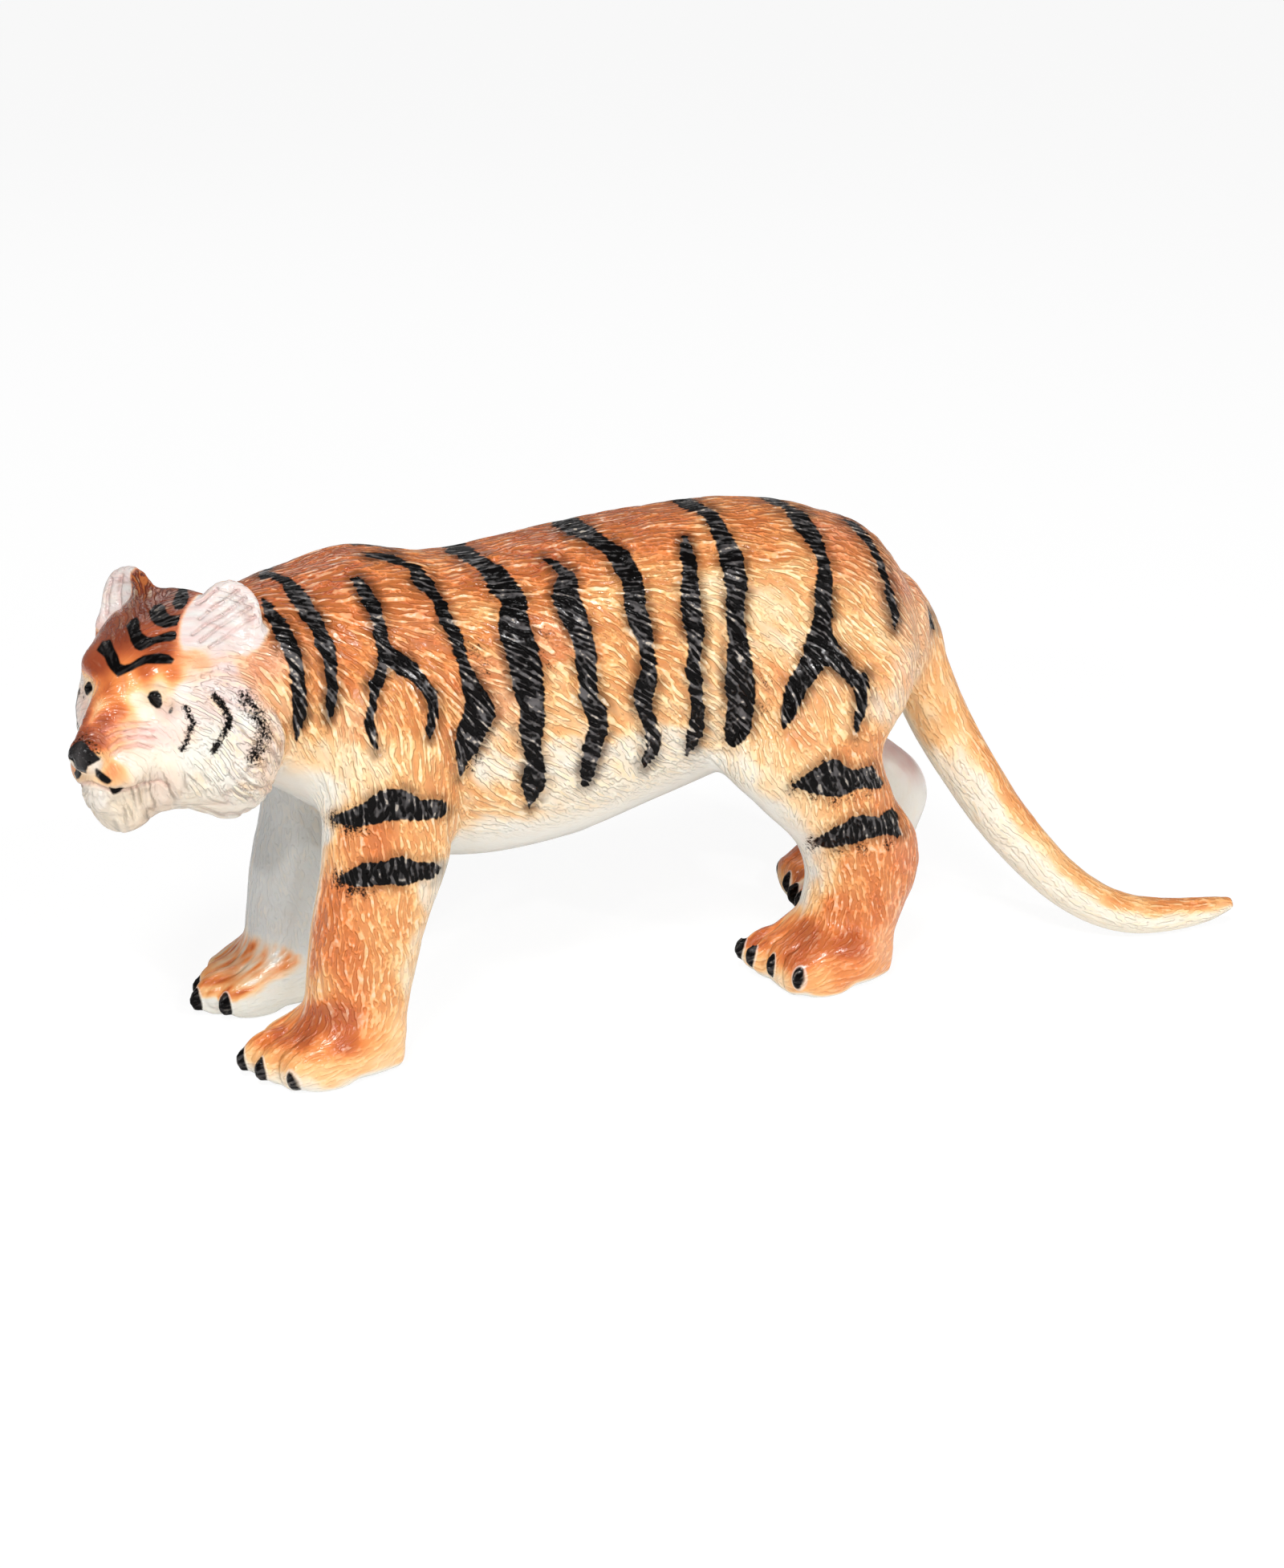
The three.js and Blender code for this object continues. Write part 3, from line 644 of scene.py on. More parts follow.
stripes = as_outlines({
    "neck_1": [326, 745, 328, 763, 338, 780, 345, 798, 352, 812, 359, 825, 360, 840, 363, 855, 365, 875,
        365, 895, 366, 908, 370, 922, 375, 915, 378, 900, 382, 890, 382, 870, 380, 850, 379, 830, 374, 812,
        370, 800, 363, 785, 355, 772, 345, 762, 336, 750],
    "neck_2": [318, 713, 328, 710, 340, 712, 352, 717, 362, 722, 372, 728, 382, 738, 388, 745, 392, 757,
        400, 765, 406, 780, 412, 793, 418, 805, 420, 820, 420, 845, 422, 860, 420, 875, 415, 888, 409, 902,
        406, 890, 406, 870, 408, 850, 406, 838, 404, 826, 400, 815, 393, 803, 391, 792, 390, 783, 383, 777,
        376, 772, 370, 760, 362, 748, 356, 738, 352, 727, 340, 722, 326, 720],
    "shoulder": [438, 722, 446, 718, 453, 722, 461, 732, 469, 744, 476, 758, 480, 775, 484, 793, 488, 808,
        496, 812, 507, 818, 519, 827, 529, 840, 537, 853, 546, 862, 547, 880, 545, 898, 542, 910, 536, 922,
        530, 911, 532, 899, 534, 885, 532, 872, 527, 862, 520, 855, 511, 847, 500, 842, 490, 836, 483, 834,
        480, 848, 474, 862, 470, 872, 468, 886, 466, 898, 469, 913, 470, 928, 468, 938, 463, 927, 458, 915,
        454, 905, 456, 892, 459, 880, 461, 870, 460, 860, 459, 852, 465, 845, 468, 835, 471, 826, 472, 815,
        468, 802, 466, 790, 465, 777, 460, 765, 453, 752, 446, 740],
    "flank_1": [450, 688, 470, 688, 490, 691, 508, 700, 517, 703, 527, 710, 537, 722, 545, 735, 553, 748,
        560, 762, 566, 773, 572, 785, 576, 797, 580, 812, 585, 825, 592, 840, 600, 855, 608, 868, 615, 880,
        618, 892, 612, 905, 605, 915, 600, 925, 596, 938, 588, 943, 582, 952, 578, 962, 573, 970, 570, 958,
        568, 940, 567, 925, 570, 912, 574, 898, 579, 885, 580, 872, 577, 860, 574, 848, 572, 835, 570, 820,
        565, 805, 559, 792, 553, 783, 547, 775, 543, 762, 540, 750, 530, 738, 520, 733, 513, 722, 511, 712,
        502, 704, 480, 699, 460, 695],
    "flank_2": [540, 682, 560, 677, 575, 679, 590, 685, 603, 694, 615, 700, 625, 705, 632, 713, 640, 722,
        647, 733, 654, 742, 656, 755, 658, 770, 662, 785, 668, 800, 672, 815, 674, 830, 676, 845, 678, 862,
        679, 885, 679, 900, 676, 915, 675, 930, 677, 945, 679, 958, 680, 972, 676, 985, 668, 995, 660, 1008,
        655, 995, 650, 980, 652, 965, 656, 950, 655, 938, 650, 925, 646, 910, 648, 895, 648, 880, 643, 868,
        638, 855, 636, 840, 634, 825, 630, 812, 624, 798, 622, 785, 622, 770, 625, 755, 624, 748, 615, 742,
        608, 732, 603, 722, 598, 712, 588, 706, 578, 700, 570, 693, 560, 690],
    "flank_3": [675, 695, 684, 696, 696, 699, 706, 708, 716, 713, 720, 722, 721, 735, 725, 748, 730, 762,
        734, 776, 739, 790, 743, 805, 744, 820, 744, 840, 744, 858, 748, 870, 755, 883, 758, 897, 757, 912,
        753, 922, 750, 935, 747, 947, 743, 958, 738, 970, 731, 980, 726, 980, 724, 965, 725, 950, 726, 935,
        730, 920, 734, 905, 732, 892, 725, 880, 720, 868, 722, 855, 721, 842, 717, 830, 717, 815, 713, 800,
        707, 785, 697, 770, 690, 755, 688, 742, 690, 728, 696, 716, 688, 706],
    "flank_4": [683, 653, 697, 648, 712, 646, 727, 650, 738, 656, 746, 664, 755, 670, 765, 676, 775, 683,
        784, 690, 791, 702, 797, 713, 801, 725, 803, 738, 804, 752, 808, 765, 812, 778, 814, 792, 815, 808,
        817, 822, 819, 838, 819, 850, 816, 862, 813, 873, 813, 885, 818, 898, 822, 910, 826, 920, 823, 930,
        818, 940, 811, 950, 803, 957, 799, 948, 804, 938, 805, 925, 803, 912, 800, 900, 795, 888, 790, 877,
        789, 865, 792, 852, 798, 842, 800, 830, 799, 818, 796, 805, 790, 795, 785, 782, 780, 768, 778, 752,
        778, 738, 775, 725, 768, 715, 762, 705, 757, 695, 747, 686, 735, 679, 722, 671, 710, 666, 700, 661],
    "flank_5": [850, 667, 857, 668, 862, 680, 866, 693, 869, 708, 870, 722, 872, 738, 874, 755, 876, 770,
        878, 783, 876, 797, 874, 812, 873, 828, 875, 845, 876, 862, 877, 878, 879, 892, 878, 905, 876, 915,
        870, 925, 863, 933, 856, 942, 853, 940, 855, 925, 857, 910, 860, 897, 862, 882, 862, 868, 858, 852,
        854, 838, 857, 822, 858, 808, 857, 795, 853, 782, 850, 768, 848, 752, 848, 738, 850, 722, 850, 708,
        848, 695, 848, 680],
    "flank_6": [838, 625, 852, 622, 868, 624, 880, 631, 893, 637, 901, 648, 907, 660, 914, 670, 921, 680,
        926, 692, 928, 706, 931, 720, 931, 735, 929, 750, 928, 765, 929, 780, 931, 795, 934, 810, 938, 828,
        940, 845, 941, 862, 940, 880, 938, 897, 935, 912, 926, 924, 916, 930, 907, 929, 904, 918, 904, 903,
        905, 888, 907, 873, 904, 858, 903, 843, 905, 828, 907, 812, 908, 797, 906, 780, 905, 762, 906, 745,
        903, 728, 901, 712, 897, 698, 893, 682, 889, 668, 884, 655, 876, 645, 866, 638, 852, 633],
    "rump_1": [946, 620, 962, 618, 975, 624, 988, 631, 1001, 638, 1010, 648, 1018, 657, 1023, 668, 1027, 680,
        1031, 693, 1035, 705, 1038, 718, 1037, 732, 1037, 748, 1036, 762, 1036, 775, 1038, 790, 1043, 802,
        1050, 812, 1058, 822, 1064, 832, 1072, 838, 1080, 838, 1082, 850, 1082, 862, 1082, 875, 1079, 890,
        1074, 900, 1070, 910, 1066, 918, 1064, 905, 1065, 892, 1067, 880, 1067, 868, 1065, 857, 1057, 850,
        1049, 843, 1041, 835, 1034, 830, 1027, 830, 1021, 840, 1014, 850, 1006, 858, 1002, 868, 997, 880,
        990, 893, 982, 903, 976, 907, 973, 895, 974, 882, 976, 868, 980, 855, 986, 842, 993, 830, 1000, 818,
        1003, 805, 1006, 793, 1011, 782, 1015, 768, 1016, 752, 1015, 738, 1018, 725, 1021, 712, 1019, 698,
        1013, 686, 1006, 675, 998, 666, 990, 658, 983, 645, 978, 635, 965, 630],
    "rump_2": [1050, 645, 1062, 648, 1072, 655, 1081, 665, 1088, 675, 1094, 686, 1100, 697, 1104, 708,
        1107, 720, 1111, 732, 1116, 745, 1119, 757, 1120, 768, 1116, 785, 1112, 778, 1110, 765, 1106, 752,
        1103, 738, 1101, 725, 1096, 712, 1091, 700, 1086, 688, 1079, 677, 1071, 668, 1063, 660],
    "hock_1": [985, 980, 993, 974, 1002, 967, 1012, 960, 1022, 954, 1032, 947, 1042, 945, 1050, 952,
        1058, 958, 1070, 959, 1080, 955, 1088, 955, 1093, 962, 1098, 970, 1101, 977, 1096, 983, 1086, 983,
        1076, 982, 1066, 984, 1056, 990, 1046, 993, 1034, 993, 1022, 991, 1010, 988, 998, 984],
    "hock_2": [1012, 1048, 1022, 1043, 1033, 1036, 1044, 1030, 1054, 1024, 1063, 1017, 1075, 1015, 1087, 1017,
        1096, 1018, 1104, 1011, 1112, 1007, 1118, 1015, 1121, 1027, 1124, 1040, 1118, 1043, 1108, 1040,
        1100, 1041, 1090, 1043, 1078, 1046, 1066, 1050, 1054, 1053, 1042, 1056, 1030, 1057, 1020, 1054],
    "arm_1": [412, 1022, 420, 1015, 432, 1010, 445, 1004, 457, 998, 468, 990, 480, 984, 500, 983, 512, 988,
        525, 997, 540, 996, 552, 998, 558, 1003, 559, 1010, 553, 1017, 543, 1020, 530, 1022, 515, 1022,
        500, 1022, 485, 1022, 475, 1025, 460, 1028, 450, 1030, 440, 1030, 430, 1028, 420, 1027],
    "arm_2": [422, 1096, 428, 1090, 436, 1084, 445, 1079, 457, 1075, 470, 1076, 480, 1074, 492, 1068,
        503, 1068, 513, 1072, 522, 1075, 533, 1074, 543, 1075, 549, 1081, 545, 1088, 538, 1096, 530, 1095,
        520, 1097, 510, 1103, 500, 1104, 485, 1102, 470, 1103, 457, 1105, 445, 1106, 435, 1103, 428, 1100],
})
tail_marks = as_outlines({
    "tail_root": [1156, 757, 1161, 766, 1164, 784, 1155, 781, 1147, 779, 1152, 770],
})
head_marks = as_outlines({
    "brow_1": [122, 810, 128, 800, 137, 798, 141, 808, 146, 818, 149, 828, 155, 830, 163, 828, 172, 822,
        180, 818, 190, 816, 200, 815, 210, 817, 216, 822, 213, 826, 203, 826, 192, 826, 182, 826, 172, 830,
        163, 835, 153, 839, 147, 842, 141, 836, 135, 828, 131, 818],
    "brow_2": [158, 780, 164, 773, 170, 770, 173, 775, 173, 784, 177, 791, 184, 795, 193, 795, 203, 791,
        213, 788, 220, 788, 221, 794, 213, 798, 203, 799, 193, 801, 184, 806, 175, 810, 169, 807, 164, 798,
        161, 788],
    "brow_3": [187, 762, 193, 755, 200, 753, 205, 756, 206, 763, 212, 768, 222, 768, 232, 764, 237, 758,
        241, 758, 241, 765, 238, 771, 230, 776, 218, 779, 206, 781, 196, 779, 189, 772],
    "brow_4": [216, 752, 220, 741, 225, 733, 232, 733, 234, 742, 232, 752, 226, 758, 219, 758],
    "eye": [185, 869, 187, 864, 191, 862, 196, 862, 199, 865, 201, 871, 201, 877, 199, 881, 195, 881,
        191, 878, 187, 874],
    "eye_corner": [211, 885, 214, 882, 215, 885, 213, 888, 211, 888],
    "nose": [78, 950, 80, 938, 86, 928, 94, 923, 102, 924, 108, 929, 112, 935, 118, 939, 124, 946, 116, 950,
        109, 954, 106, 960, 107, 970, 101, 971, 97, 966, 88, 963, 82, 957],
    "lip_1": [120, 959, 126, 963, 132, 968, 139, 973, 134, 976, 127, 973, 121, 967],
    "lip_2": [137, 983, 144, 985, 153, 983, 148, 987, 142, 989],
})



# Wrinkles moulded into the face and ears, as lines in the same pixels, with how wide they are there
far_gap = 40.0
crease_reach, fold_reach, fold_share = 2.2, 3.2, 0.35
creases = [
    [(127, 911), (143, 905), (164, 902), (187, 901)], [(133, 920), (148, 913), (172, 910), (193, 911)],
    [(137, 932), (150, 922), (172, 918), (193, 921)], [(139, 941), (152, 932), (172, 928), (191, 932)],
    [(113, 976), (126, 982), (140, 987), (158, 985), (180, 977), (200, 974), (209, 980)],
    [(240, 790), (262, 774), (280, 765), (305, 745)], [(250, 799), (272, 782), (290, 770), (315, 755)],
    [(249, 770), (266, 757), (282, 748), (296, 735)], [(262, 806), (284, 792), (303, 776), (318, 768)],
    [(246, 752), (258, 744), (270, 734)], [(139, 722), (134, 742), (133, 764)],
    [(152, 716), (148, 738), (149, 760)],
]
folds = [
    [(152, 842), (156, 856), (152, 872)], [(164, 838), (168, 850), (165, 862)],
    [(178, 858), (190, 854), (203, 859), (212, 872)],
]


def line_gap(places, lines):
    """Distance from open lines in pixels."""
    found = np.full(len(places), far_gap)
    for line in lines:
        low, high = np.min(line, axis=0) - far_gap, np.max(line, axis=0) + far_gap
        rows = np.nonzero(np.all((places > low) & (places < high), axis=1))[0]
        for (ax, ay), (bx, by) in zip(line[:-1], line[1:]):
            px, py = places[rows, 0] - ax, places[rows, 1] - ay
            along = np.clip((px * (bx - ax) + py * (by - ay)) / ((bx - ax) ** 2 + (by - ay) ** 2), 0, 1)
            gap = np.hypot(px - along * (bx - ax), py - along * (by - ay))
            found[rows] = np.minimum(found[rows], gap)
    return found


def outline_gap(places, outline):
    """Distance from an outline in pixels, less than 0 inside it."""
    corners = np.array(outline, float)
    ends = np.roll(corners, -1, axis=0)
    px, py = places[:, 0:1], places[:, 1:2]
    dx, dy = ends[:, 0] - corners[:, 0], ends[:, 1] - corners[:, 1]
    along = ((px - corners[:, 0]) * dx + (py - corners[:, 1]) * dy) / (dx * dx + dy * dy)
    along = np.clip(along, 0, 1)
    gap = np.hypot(px - corners[:, 0] - along * dx, py - corners[:, 1] - along * dy).min(axis=1)
    crosses = ((corners[:, 1] > py) != (ends[:, 1] > py)) & (
        px < dx * (py - corners[:, 1]) / np.where(dy == 0, 1e-9, dy) + corners[:, 0]
    )
    inside = crosses.sum(axis=1) % 2 == 1
    return np.where(inside, -gap, gap)


def mark_gap(places, marks, allowed):
    found = np.full(len(places), far_gap)
    for outline in marks.values():
        low, high = np.min(outline, axis=0) - far_gap, np.max(outline, axis=0) + far_gap
        near = np.all((places > low) & (places < high), axis=1) & allowed
        rows = np.nonzero(near)[0]
        found[rows] = np.minimum(found[rows], outline_gap(places[rows], outline))
    return found


# Seat of the belly plug, sunk into the skin
plug_reach = (plug_high[0] - plug_low[0]) / 2 * 1000
from_plug = np.hypot(points[:, 0] - plug_place[0], points[:, 1] - plug_place[1])
under_belly = ramp(-0.5, -0.8, normals[:, 2]) * ramp(50, 44, z)
relief -= seat_depth * under_belly * ramp(plug_reach + 1.0, plug_reach + 0.4, from_plug)

# Paint, as amounts that the airbrush leaves at points of the photograph: orange, cream and pink
body_paint = [
    (330, 735, 1.3), (400, 710, 1.3), (350, 790, 1.1), (335, 820, 0.6, 0, 0.55), (345, 880, 0.55, 0.4, 0.2),
    (360, 940, 0.35, 0.8), (390, 860, 0.85, 0.2), (395, 900, 0.6, 0.6), (410, 940, 0.25, 0.7),
    (400, 985, 0, 0.2), (440, 900, 0.6, 0.5, 0.25), (430, 830, 0.95), (440, 770, 1.05), (500, 740, 1.05),
    (520, 780, 1.0, 0, 0.1), (500, 870, 0.85, 0.1), (510, 900, 0.8, 0.1), (440, 955, 0.25, 0.8),
    (470, 960, 0.25, 0.8), (520, 940, 0.5, 0.7), (550, 960, 0.7, 0.6), (560, 900, 0.8, 0.3),
    (555, 840, 0.95, 0.1), (500, 980, 0.6, 0.6), (560, 985, 0.75, 0.4), (340, 1010, 0, 0.1), (600, 720, 1.2),
    (600, 765, 0.75, 0.6), (590, 800, 0.85, 0.5), (610, 840, 0.8, 0.3, 0.2), (620, 880, 0.55, 0.6, 0.3),
    (620, 920, 0.35, 0.6, 0.1), (610, 960, 0.1, 0.3), (590, 1000, 0.5, 0.9), (640, 1000, 0.45, 0.9),
    (610, 1035, 0.1, 0.4), (640, 1040, 0.0, 0.2), (700, 985, 0.08, 0.45), (680, 690, 1.3),
    (670, 740, 1.0, 0.2), (680, 800, 0.9, 0.4, 0.2), (700, 860, 0.55, 0.7), (690, 900, 0.4, 0.8),
    (700, 940, 0.08, 0.25), (700, 1010, 0.12, 0.5), (740, 700, 1.05), (760, 740, 0.65, 0.8),
    (760, 800, 0.75, 0.4), (770, 850, 0.6, 0.5), (765, 900, 0.45, 0.8), (775, 940, 0.1, 0.3),
    (780, 975, 0.03, 0.45), (830, 660, 1.15), (830, 720, 0.72, 0.4), (830, 770, 0.75, 0.3),
    (830, 830, 0.7, 0.4), (835, 880, 0.5, 0.8), (835, 930, 0.06, 0.3), (820, 965, 0.03, 0.45),
    (780, 650, 1.25), (885, 690, 0.8, 0.4), (887, 730, 0.25, 0.9), (888, 800, 0.42, 0.9),
    (888, 860, 0.38, 0.8), (890, 920, 0.25, 0.7), (885, 955, 0, 0.15), (940, 645, 1.0), (960, 690, 0.92),
    (960, 712, 0.6, 0.4), (960, 750, 0.22, 0.9), (970, 800, 0.3, 0.7), (965, 850, 0.6, 0.5, 0.1),
    (950, 900, 0.5, 0.6), (960, 940, 0.38, 0.8), (930, 965, 0.02, 0.3), (990, 720, 0.6, 0.7),
    (1040, 660, 1.0, 0, 0.2), (1060, 700, 0.9, 0.1, 0.1), (1060, 750, 0.65, 0.6), (1070, 790, 0.45, 0.9),
    (1100, 800, 0.38, 0.9), (1080, 820, 0.6, 0.7), (1100, 830, 0.6, 0.6), (1130, 720, 0.7, 0.3, 0.5),
    (1130, 780, 0.4, 0.6, 0.35), (1125, 830, 0.25, 0.7, 0.35), (1105, 880, 0.22, 0.6, 0.2),
    (1040, 860, 0.5, 0.6, 0.1), (1040, 900, 0.45, 0.7), (1000, 920, 0.65, 0.5, 0.15), (1080, 930, 0.75, 0.2),
    (1095, 960, 0.9), (1060, 940, 0.8, 0.3), (1000, 950, 0.42, 0.9), (960, 985, 0.25, 0.8),
    (1000, 1000, 0.32, 0.9), (1040, 1010, 0.6, 0.7), (1070, 1005, 0.8, 0.3), (1110, 1000, 0.95),
    (1020, 1030, 0.35, 0.8), (980, 1020, 0.08, 0.4), (960, 1010, 0, 0.1), (1000, 1060, 0.02, 0.2),
    (1030, 1075, 0.35, 0.5), (1060, 1080, 0.9, 0.1), (1100, 1080, 1.0), (1020, 1100, 0.35, 0.3),
    (1008, 1090, 0, 0.1), (1000, 1120, 0.3, 0.2), (1040, 1130, 1.1), (1090, 1130, 1.1),
    (1132, 1060, 1.0, 0, 0.2), (1120, 1130, 0.9, 0.2, 0.25), (1110, 1180, 0.7, 0.4, 0.3), (1000, 1160, 1.4),
    (940, 1170, 1.35), (1060, 1180, 1.35), (1060, 1215, 1.0, 0.2), (1095, 1220, 0.8, 0.4), (990, 1190, 1.3),
    (940, 1200, 0.6, 0.5), (918, 1198, 0.1, 0.3), (960, 1225, 0.25, 0.4), (1020, 1228, 0.7, 0.5),
    (430, 1050, 0.9, 0.2), (415, 1060, 0.7, 0.1), (402, 1045, 0), (470, 1050, 1.05), (520, 1040, 0.7, 0.8),
    (540, 1060, 0.6, 0.8), (553, 1085, 0.08, 0.3), (540, 1115, 0.12, 0.3), (500, 1125, 0.72, 0.6),
    (450, 1125, 0.85, 0.3), (420, 1120, 1.1), (400, 1150, 1.15), (395, 1190, 1.05), (395, 1230, 0.7, 0.2),
    (430, 1180, 1.1), (470, 1170, 0.8, 0.7), (500, 1160, 0.78, 0.7), (522, 1170, 0.25, 0.5),
    (512, 1220, 0.25, 0.5), (480, 1230, 0.75, 0.7), (440, 1230, 1.0, 0.2), (430, 1270, 1.35),
    (400, 1270, 1.4), (380, 1290, 1.4), (350, 1290, 1.35), (330, 1295, 1.1), (430, 1300, 1.3),
    (400, 1310, 0.9, 0.3), (470, 1290, 0.8, 0.7), (495, 1290, 0.4, 0.6), (480, 1330, 0.35, 0.6),
    (440, 1335, 0.55, 0.8), (400, 1340, 0.5, 0.8), (350, 1320, 0.75, 0.5), (320, 1320, 0.5, 0.4),
    (345, 1345, 0.15, 0.4), (310, 1335, 0.05, 0.2), (390, 1355, 0.1, 0.3), (440, 1350, 0.12, 0.4),
]
head_paint = [
    (210, 745, 1.9), (180, 750, 1.9), (150, 790, 1.75), (240, 785, 1.6, 0, 0.1), (200, 810, 1.65),
    (260, 800, 0.45, 0, 0.55), (290, 800, 0.03, 0, 0.5), (300, 780, 0.04, 0, 0.45), (250, 825, 0.5, 0, 0.5),
    (280, 835, 0.02, 0, 0.5), (310, 830, 0.35, 0, 0.5), (330, 860, 0.4, 0.1, 0.45), (120, 830, 1.65),
    (130, 855, 1.3), (112, 875, 0, 0, 0.3), (105, 890, 0.05, 0, 0.5), (150, 850, 1.0, 0.3),
    (165, 850, 0.7, 0.5), (180, 838, 1.35), (215, 840, 1.2), (240, 840, 0.25, 0, 0.45), (200, 855, 0.2, 0.4),
    (230, 860, 0.02, 0, 0.25), (260, 860, 0.02, 0, 0.35), (290, 870, 0.02, 0, 0.3), (170, 870, 0.1, 0.4),
    (180, 890, 0.08, 0.3), (165, 900, 0.4, 0, 0.25), (150, 888, 1.35), (130, 900, 1.6), (110, 920, 1.8),
    (125, 920, 1.6), (100, 912, 1.75), (140, 915, 0.85, 0, 0.3), (160, 915, 0.22, 0, 0.55),
    (180, 915, 0.1, 0, 0.5), (200, 910, 0.1, 0, 0.55), (205, 895, 0.15, 0.1, 0.55),
    (220, 900, 0.05, 0.1, 0.35), (150, 945, 0.1, 0.1, 0.3), (140, 957, 1.0, 0, 0.15), (122, 952, 0.1),
    (170, 950, 0, 0.4, 0.05), (200, 950, 0, 0.4), (240, 950, 0, 0.15), (300, 960, 0, 0.15),
    (332, 960, 0.1, 0.4, 0.2), (335, 920, 0.15, 0.3, 0.3), (205, 972, 0.03, 0.3, 0.35),
    (150, 1000, 0.04, 0.5, 0.1), (120, 1000, 0, 0, 0.1), (250, 1000, 0, 0.3), (310, 1010, 0, 0.2),
    (130, 1020, 0.03, 0.4, 0.1), (322, 800, 0.8, 0, 0.3), (330, 825, 0.7, 0, 0.3), (300, 812, 0.3, 0, 0.5),
    (270, 820, 0.25, 0, 0.6), (236, 806, 0.9, 0, 0.2), (270, 930, 0, 0.1), (300, 900, 0, 0.05, 0.1),
]


rows_at_once = 40000
body_reach, head_reach = 9.0, 8.0


def laid_paint(places, table, reach):
    """Amounts of paint at these places, blended from the points nearby. What a row leaves off is 0."""
    table = np.array([(*row, 0, 0)[:5] for row in table], float)
    out = np.zeros((len(places), 3))
    for first in range(0, len(places), rows_at_once):
        block = places[first:first + rows_at_once]
        gap = (block[:, 0:1] - table[:, 0]) ** 2 + (block[:, 1:2] - table[:, 1]) ** 2
        weight = 1 / (gap + reach**2) ** 2
        out[first:first + rows_at_once] = weight @ table[:, 2:] / weight.sum(axis=1, keepdims=True)
    return out


head_columns = [part_names.index(n) for n in ("head_skin", "ear_left", "ear_right")]
beyond_head = np.delete(scores, head_columns, axis=1).min(axis=1) - scores[:, head_columns].min(axis=1)
head_side = ramp(-0.35, 0.35, beyond_head)
head_amounts = laid_paint(own, head_paint, head_reach) * shown[:, None]
head_amounts += laid_paint(other, head_paint, head_reach) * (1 - shown[:, None])
amounts = laid_paint(body_place, body_paint, body_reach) * (1 - head_side[:, None])
amounts += head_amounts * head_side[:, None]
ORANGE, CREAM, PINK = 0, 1, 2
paint = list(amounts.T.copy())


def repaint(part, *amounts):
    """Blend the amounts of orange, cream and pink into these, as far as part says."""
    for i, amount in enumerate(amounts):
        paint[i] = paint[i] * (1 - part) + part * amount


# Skin that the airbrush didn't reach: inside the legs, the belly and the front of the chest
inside_leg = leg_share * (1 - leg_outside) * ramp(84, 72, z) * (1 - head_side)
below = ramp(-0.3, -0.75, normals[:, 2]) * (1 - head_side)
chest_front = ramp(-66, -76, x) * ramp(76, 66, z) * share["trunk_skin"] * ramp(0.5, 0.1, outward)
plain = np.clip(np.maximum(np.maximum(inside_leg, below), chest_front), 0, 1)
foot_top = leg_share * ramp(19, 14, z) * ramp(3.5, 6.5, z)
foot_top *= ramp(0.15, 0.5, normals[:, 2] - 0.6 * normals[:, 0])
repaint(plain, foot_top * (0.75 + 0.25 * broad), 0.1, 0)
trailing_edge = share["hindleg_right"] * ramp(0.1, 0.6, normals[:, 0]) * ramp(54, 42, z)
paint[PINK] += trailing_edge * ramp(26, 34, z) * (0.75 + 0.25 * noise(points, 3, 8))
paint[CREAM] += trailing_edge * ramp(34, 26, z) * 0.3

# Tail, orange along its upper side
tail_orange = ramp(0.05, 0.7, normals @ np.array([0.62, -0.15, 0.77]) + 0.15 * noise(points, 6, 5))
tail_high = ramp(34, 58, z) * ramp(-0.9, -0.2, normals @ np.array([0.62, -0.75, 0.2]))
tail_pale = (1 - 0.35 * ramp(34, 24, z) * ramp(8, 13, z)) * (1 - 0.3 * ramp(38, 56, z))
tail_amount = np.maximum(tail_orange * tail_pale * (0.8 + 0.25 * noise(points, 7, 6)),
                         tail_high * (0.5 + 0.15 * noise(points, 6, 9)))
repaint(share["tail"] * ramp(84, 76, z), tail_amount, 0.35 + 0.4 * tail_orange, 0)

# Ears, orange behind and pink in the hollow
ear_inside = np.zeros(len(points))
for name, side in (("ear_left", NEAR), ("ear_right", FAR)):
    u, v, w = ear_axes(head_a, head_b, z, side)
    _, across, tall = ear_size[side]
    reach = np.sqrt((v / np.where(v < 0, *across)) ** 2 + (w / tall) ** 2)
    c, d = math.cos(ear_lean), math.sin(ear_outward) * math.cos(ear_lean)
    opening = np.array([*(math.cos(ear_outward) * c * ahead_axis + side * d * left_axis), math.sin(ear_lean)])
    facing_out = ramp(-0.2, 0.15, normals @ opening) * ramp(-2.6, -1.4, u)
    hollow = ramp(0.5, 0.1, ball(u, v, w, *ear_hollow)) * ramp(-1.5, -0.6, u)
    cupped = np.maximum(facing_out, hollow) * ramp(1.3, 1.12, reach) * ramp(-8.6, -4.6, w + 0.5 * broad)
    if side == FAR:
        cupped = cupped * ramp(-1.9, -0.8, v)
    ear_inside = np.maximum(ear_inside, cupped)
    back = share[name] * (1 - cupped) * ramp(-7.5, -5.0, w) * ramp(0.15, -0.25, normals @ opening)
    repaint(back, 1, 0, 0.1)
repaint(ear_inside, 0, 0, 0.22 + 0.12 * broad)
relief += ear_inside * ear_lock_height * locks
fur = fur * (1 - 0.7 * ear_inside)
crease = bell(line_gap(head_place, creases) / crease_reach)
crease = np.maximum(crease, fold_share * bell(line_gap(head_place, folds) / fold_reach))
crease = crease * ramp(0.5, 0.9, head_share)
relief -= crease_depth * crease
carved -= (0.25 + 0.15 * ear_inside) * crease
paint[PINK] += (0.45 - 0.2 * ear_inside) * crease + 0.3 * ruff * lock_crease * (1 - cheek_low)
orange, cream, pink = paint[ORANGE], np.clip(paint[CREAM], 0, 1), np.clip(paint[PINK], 0, 1)

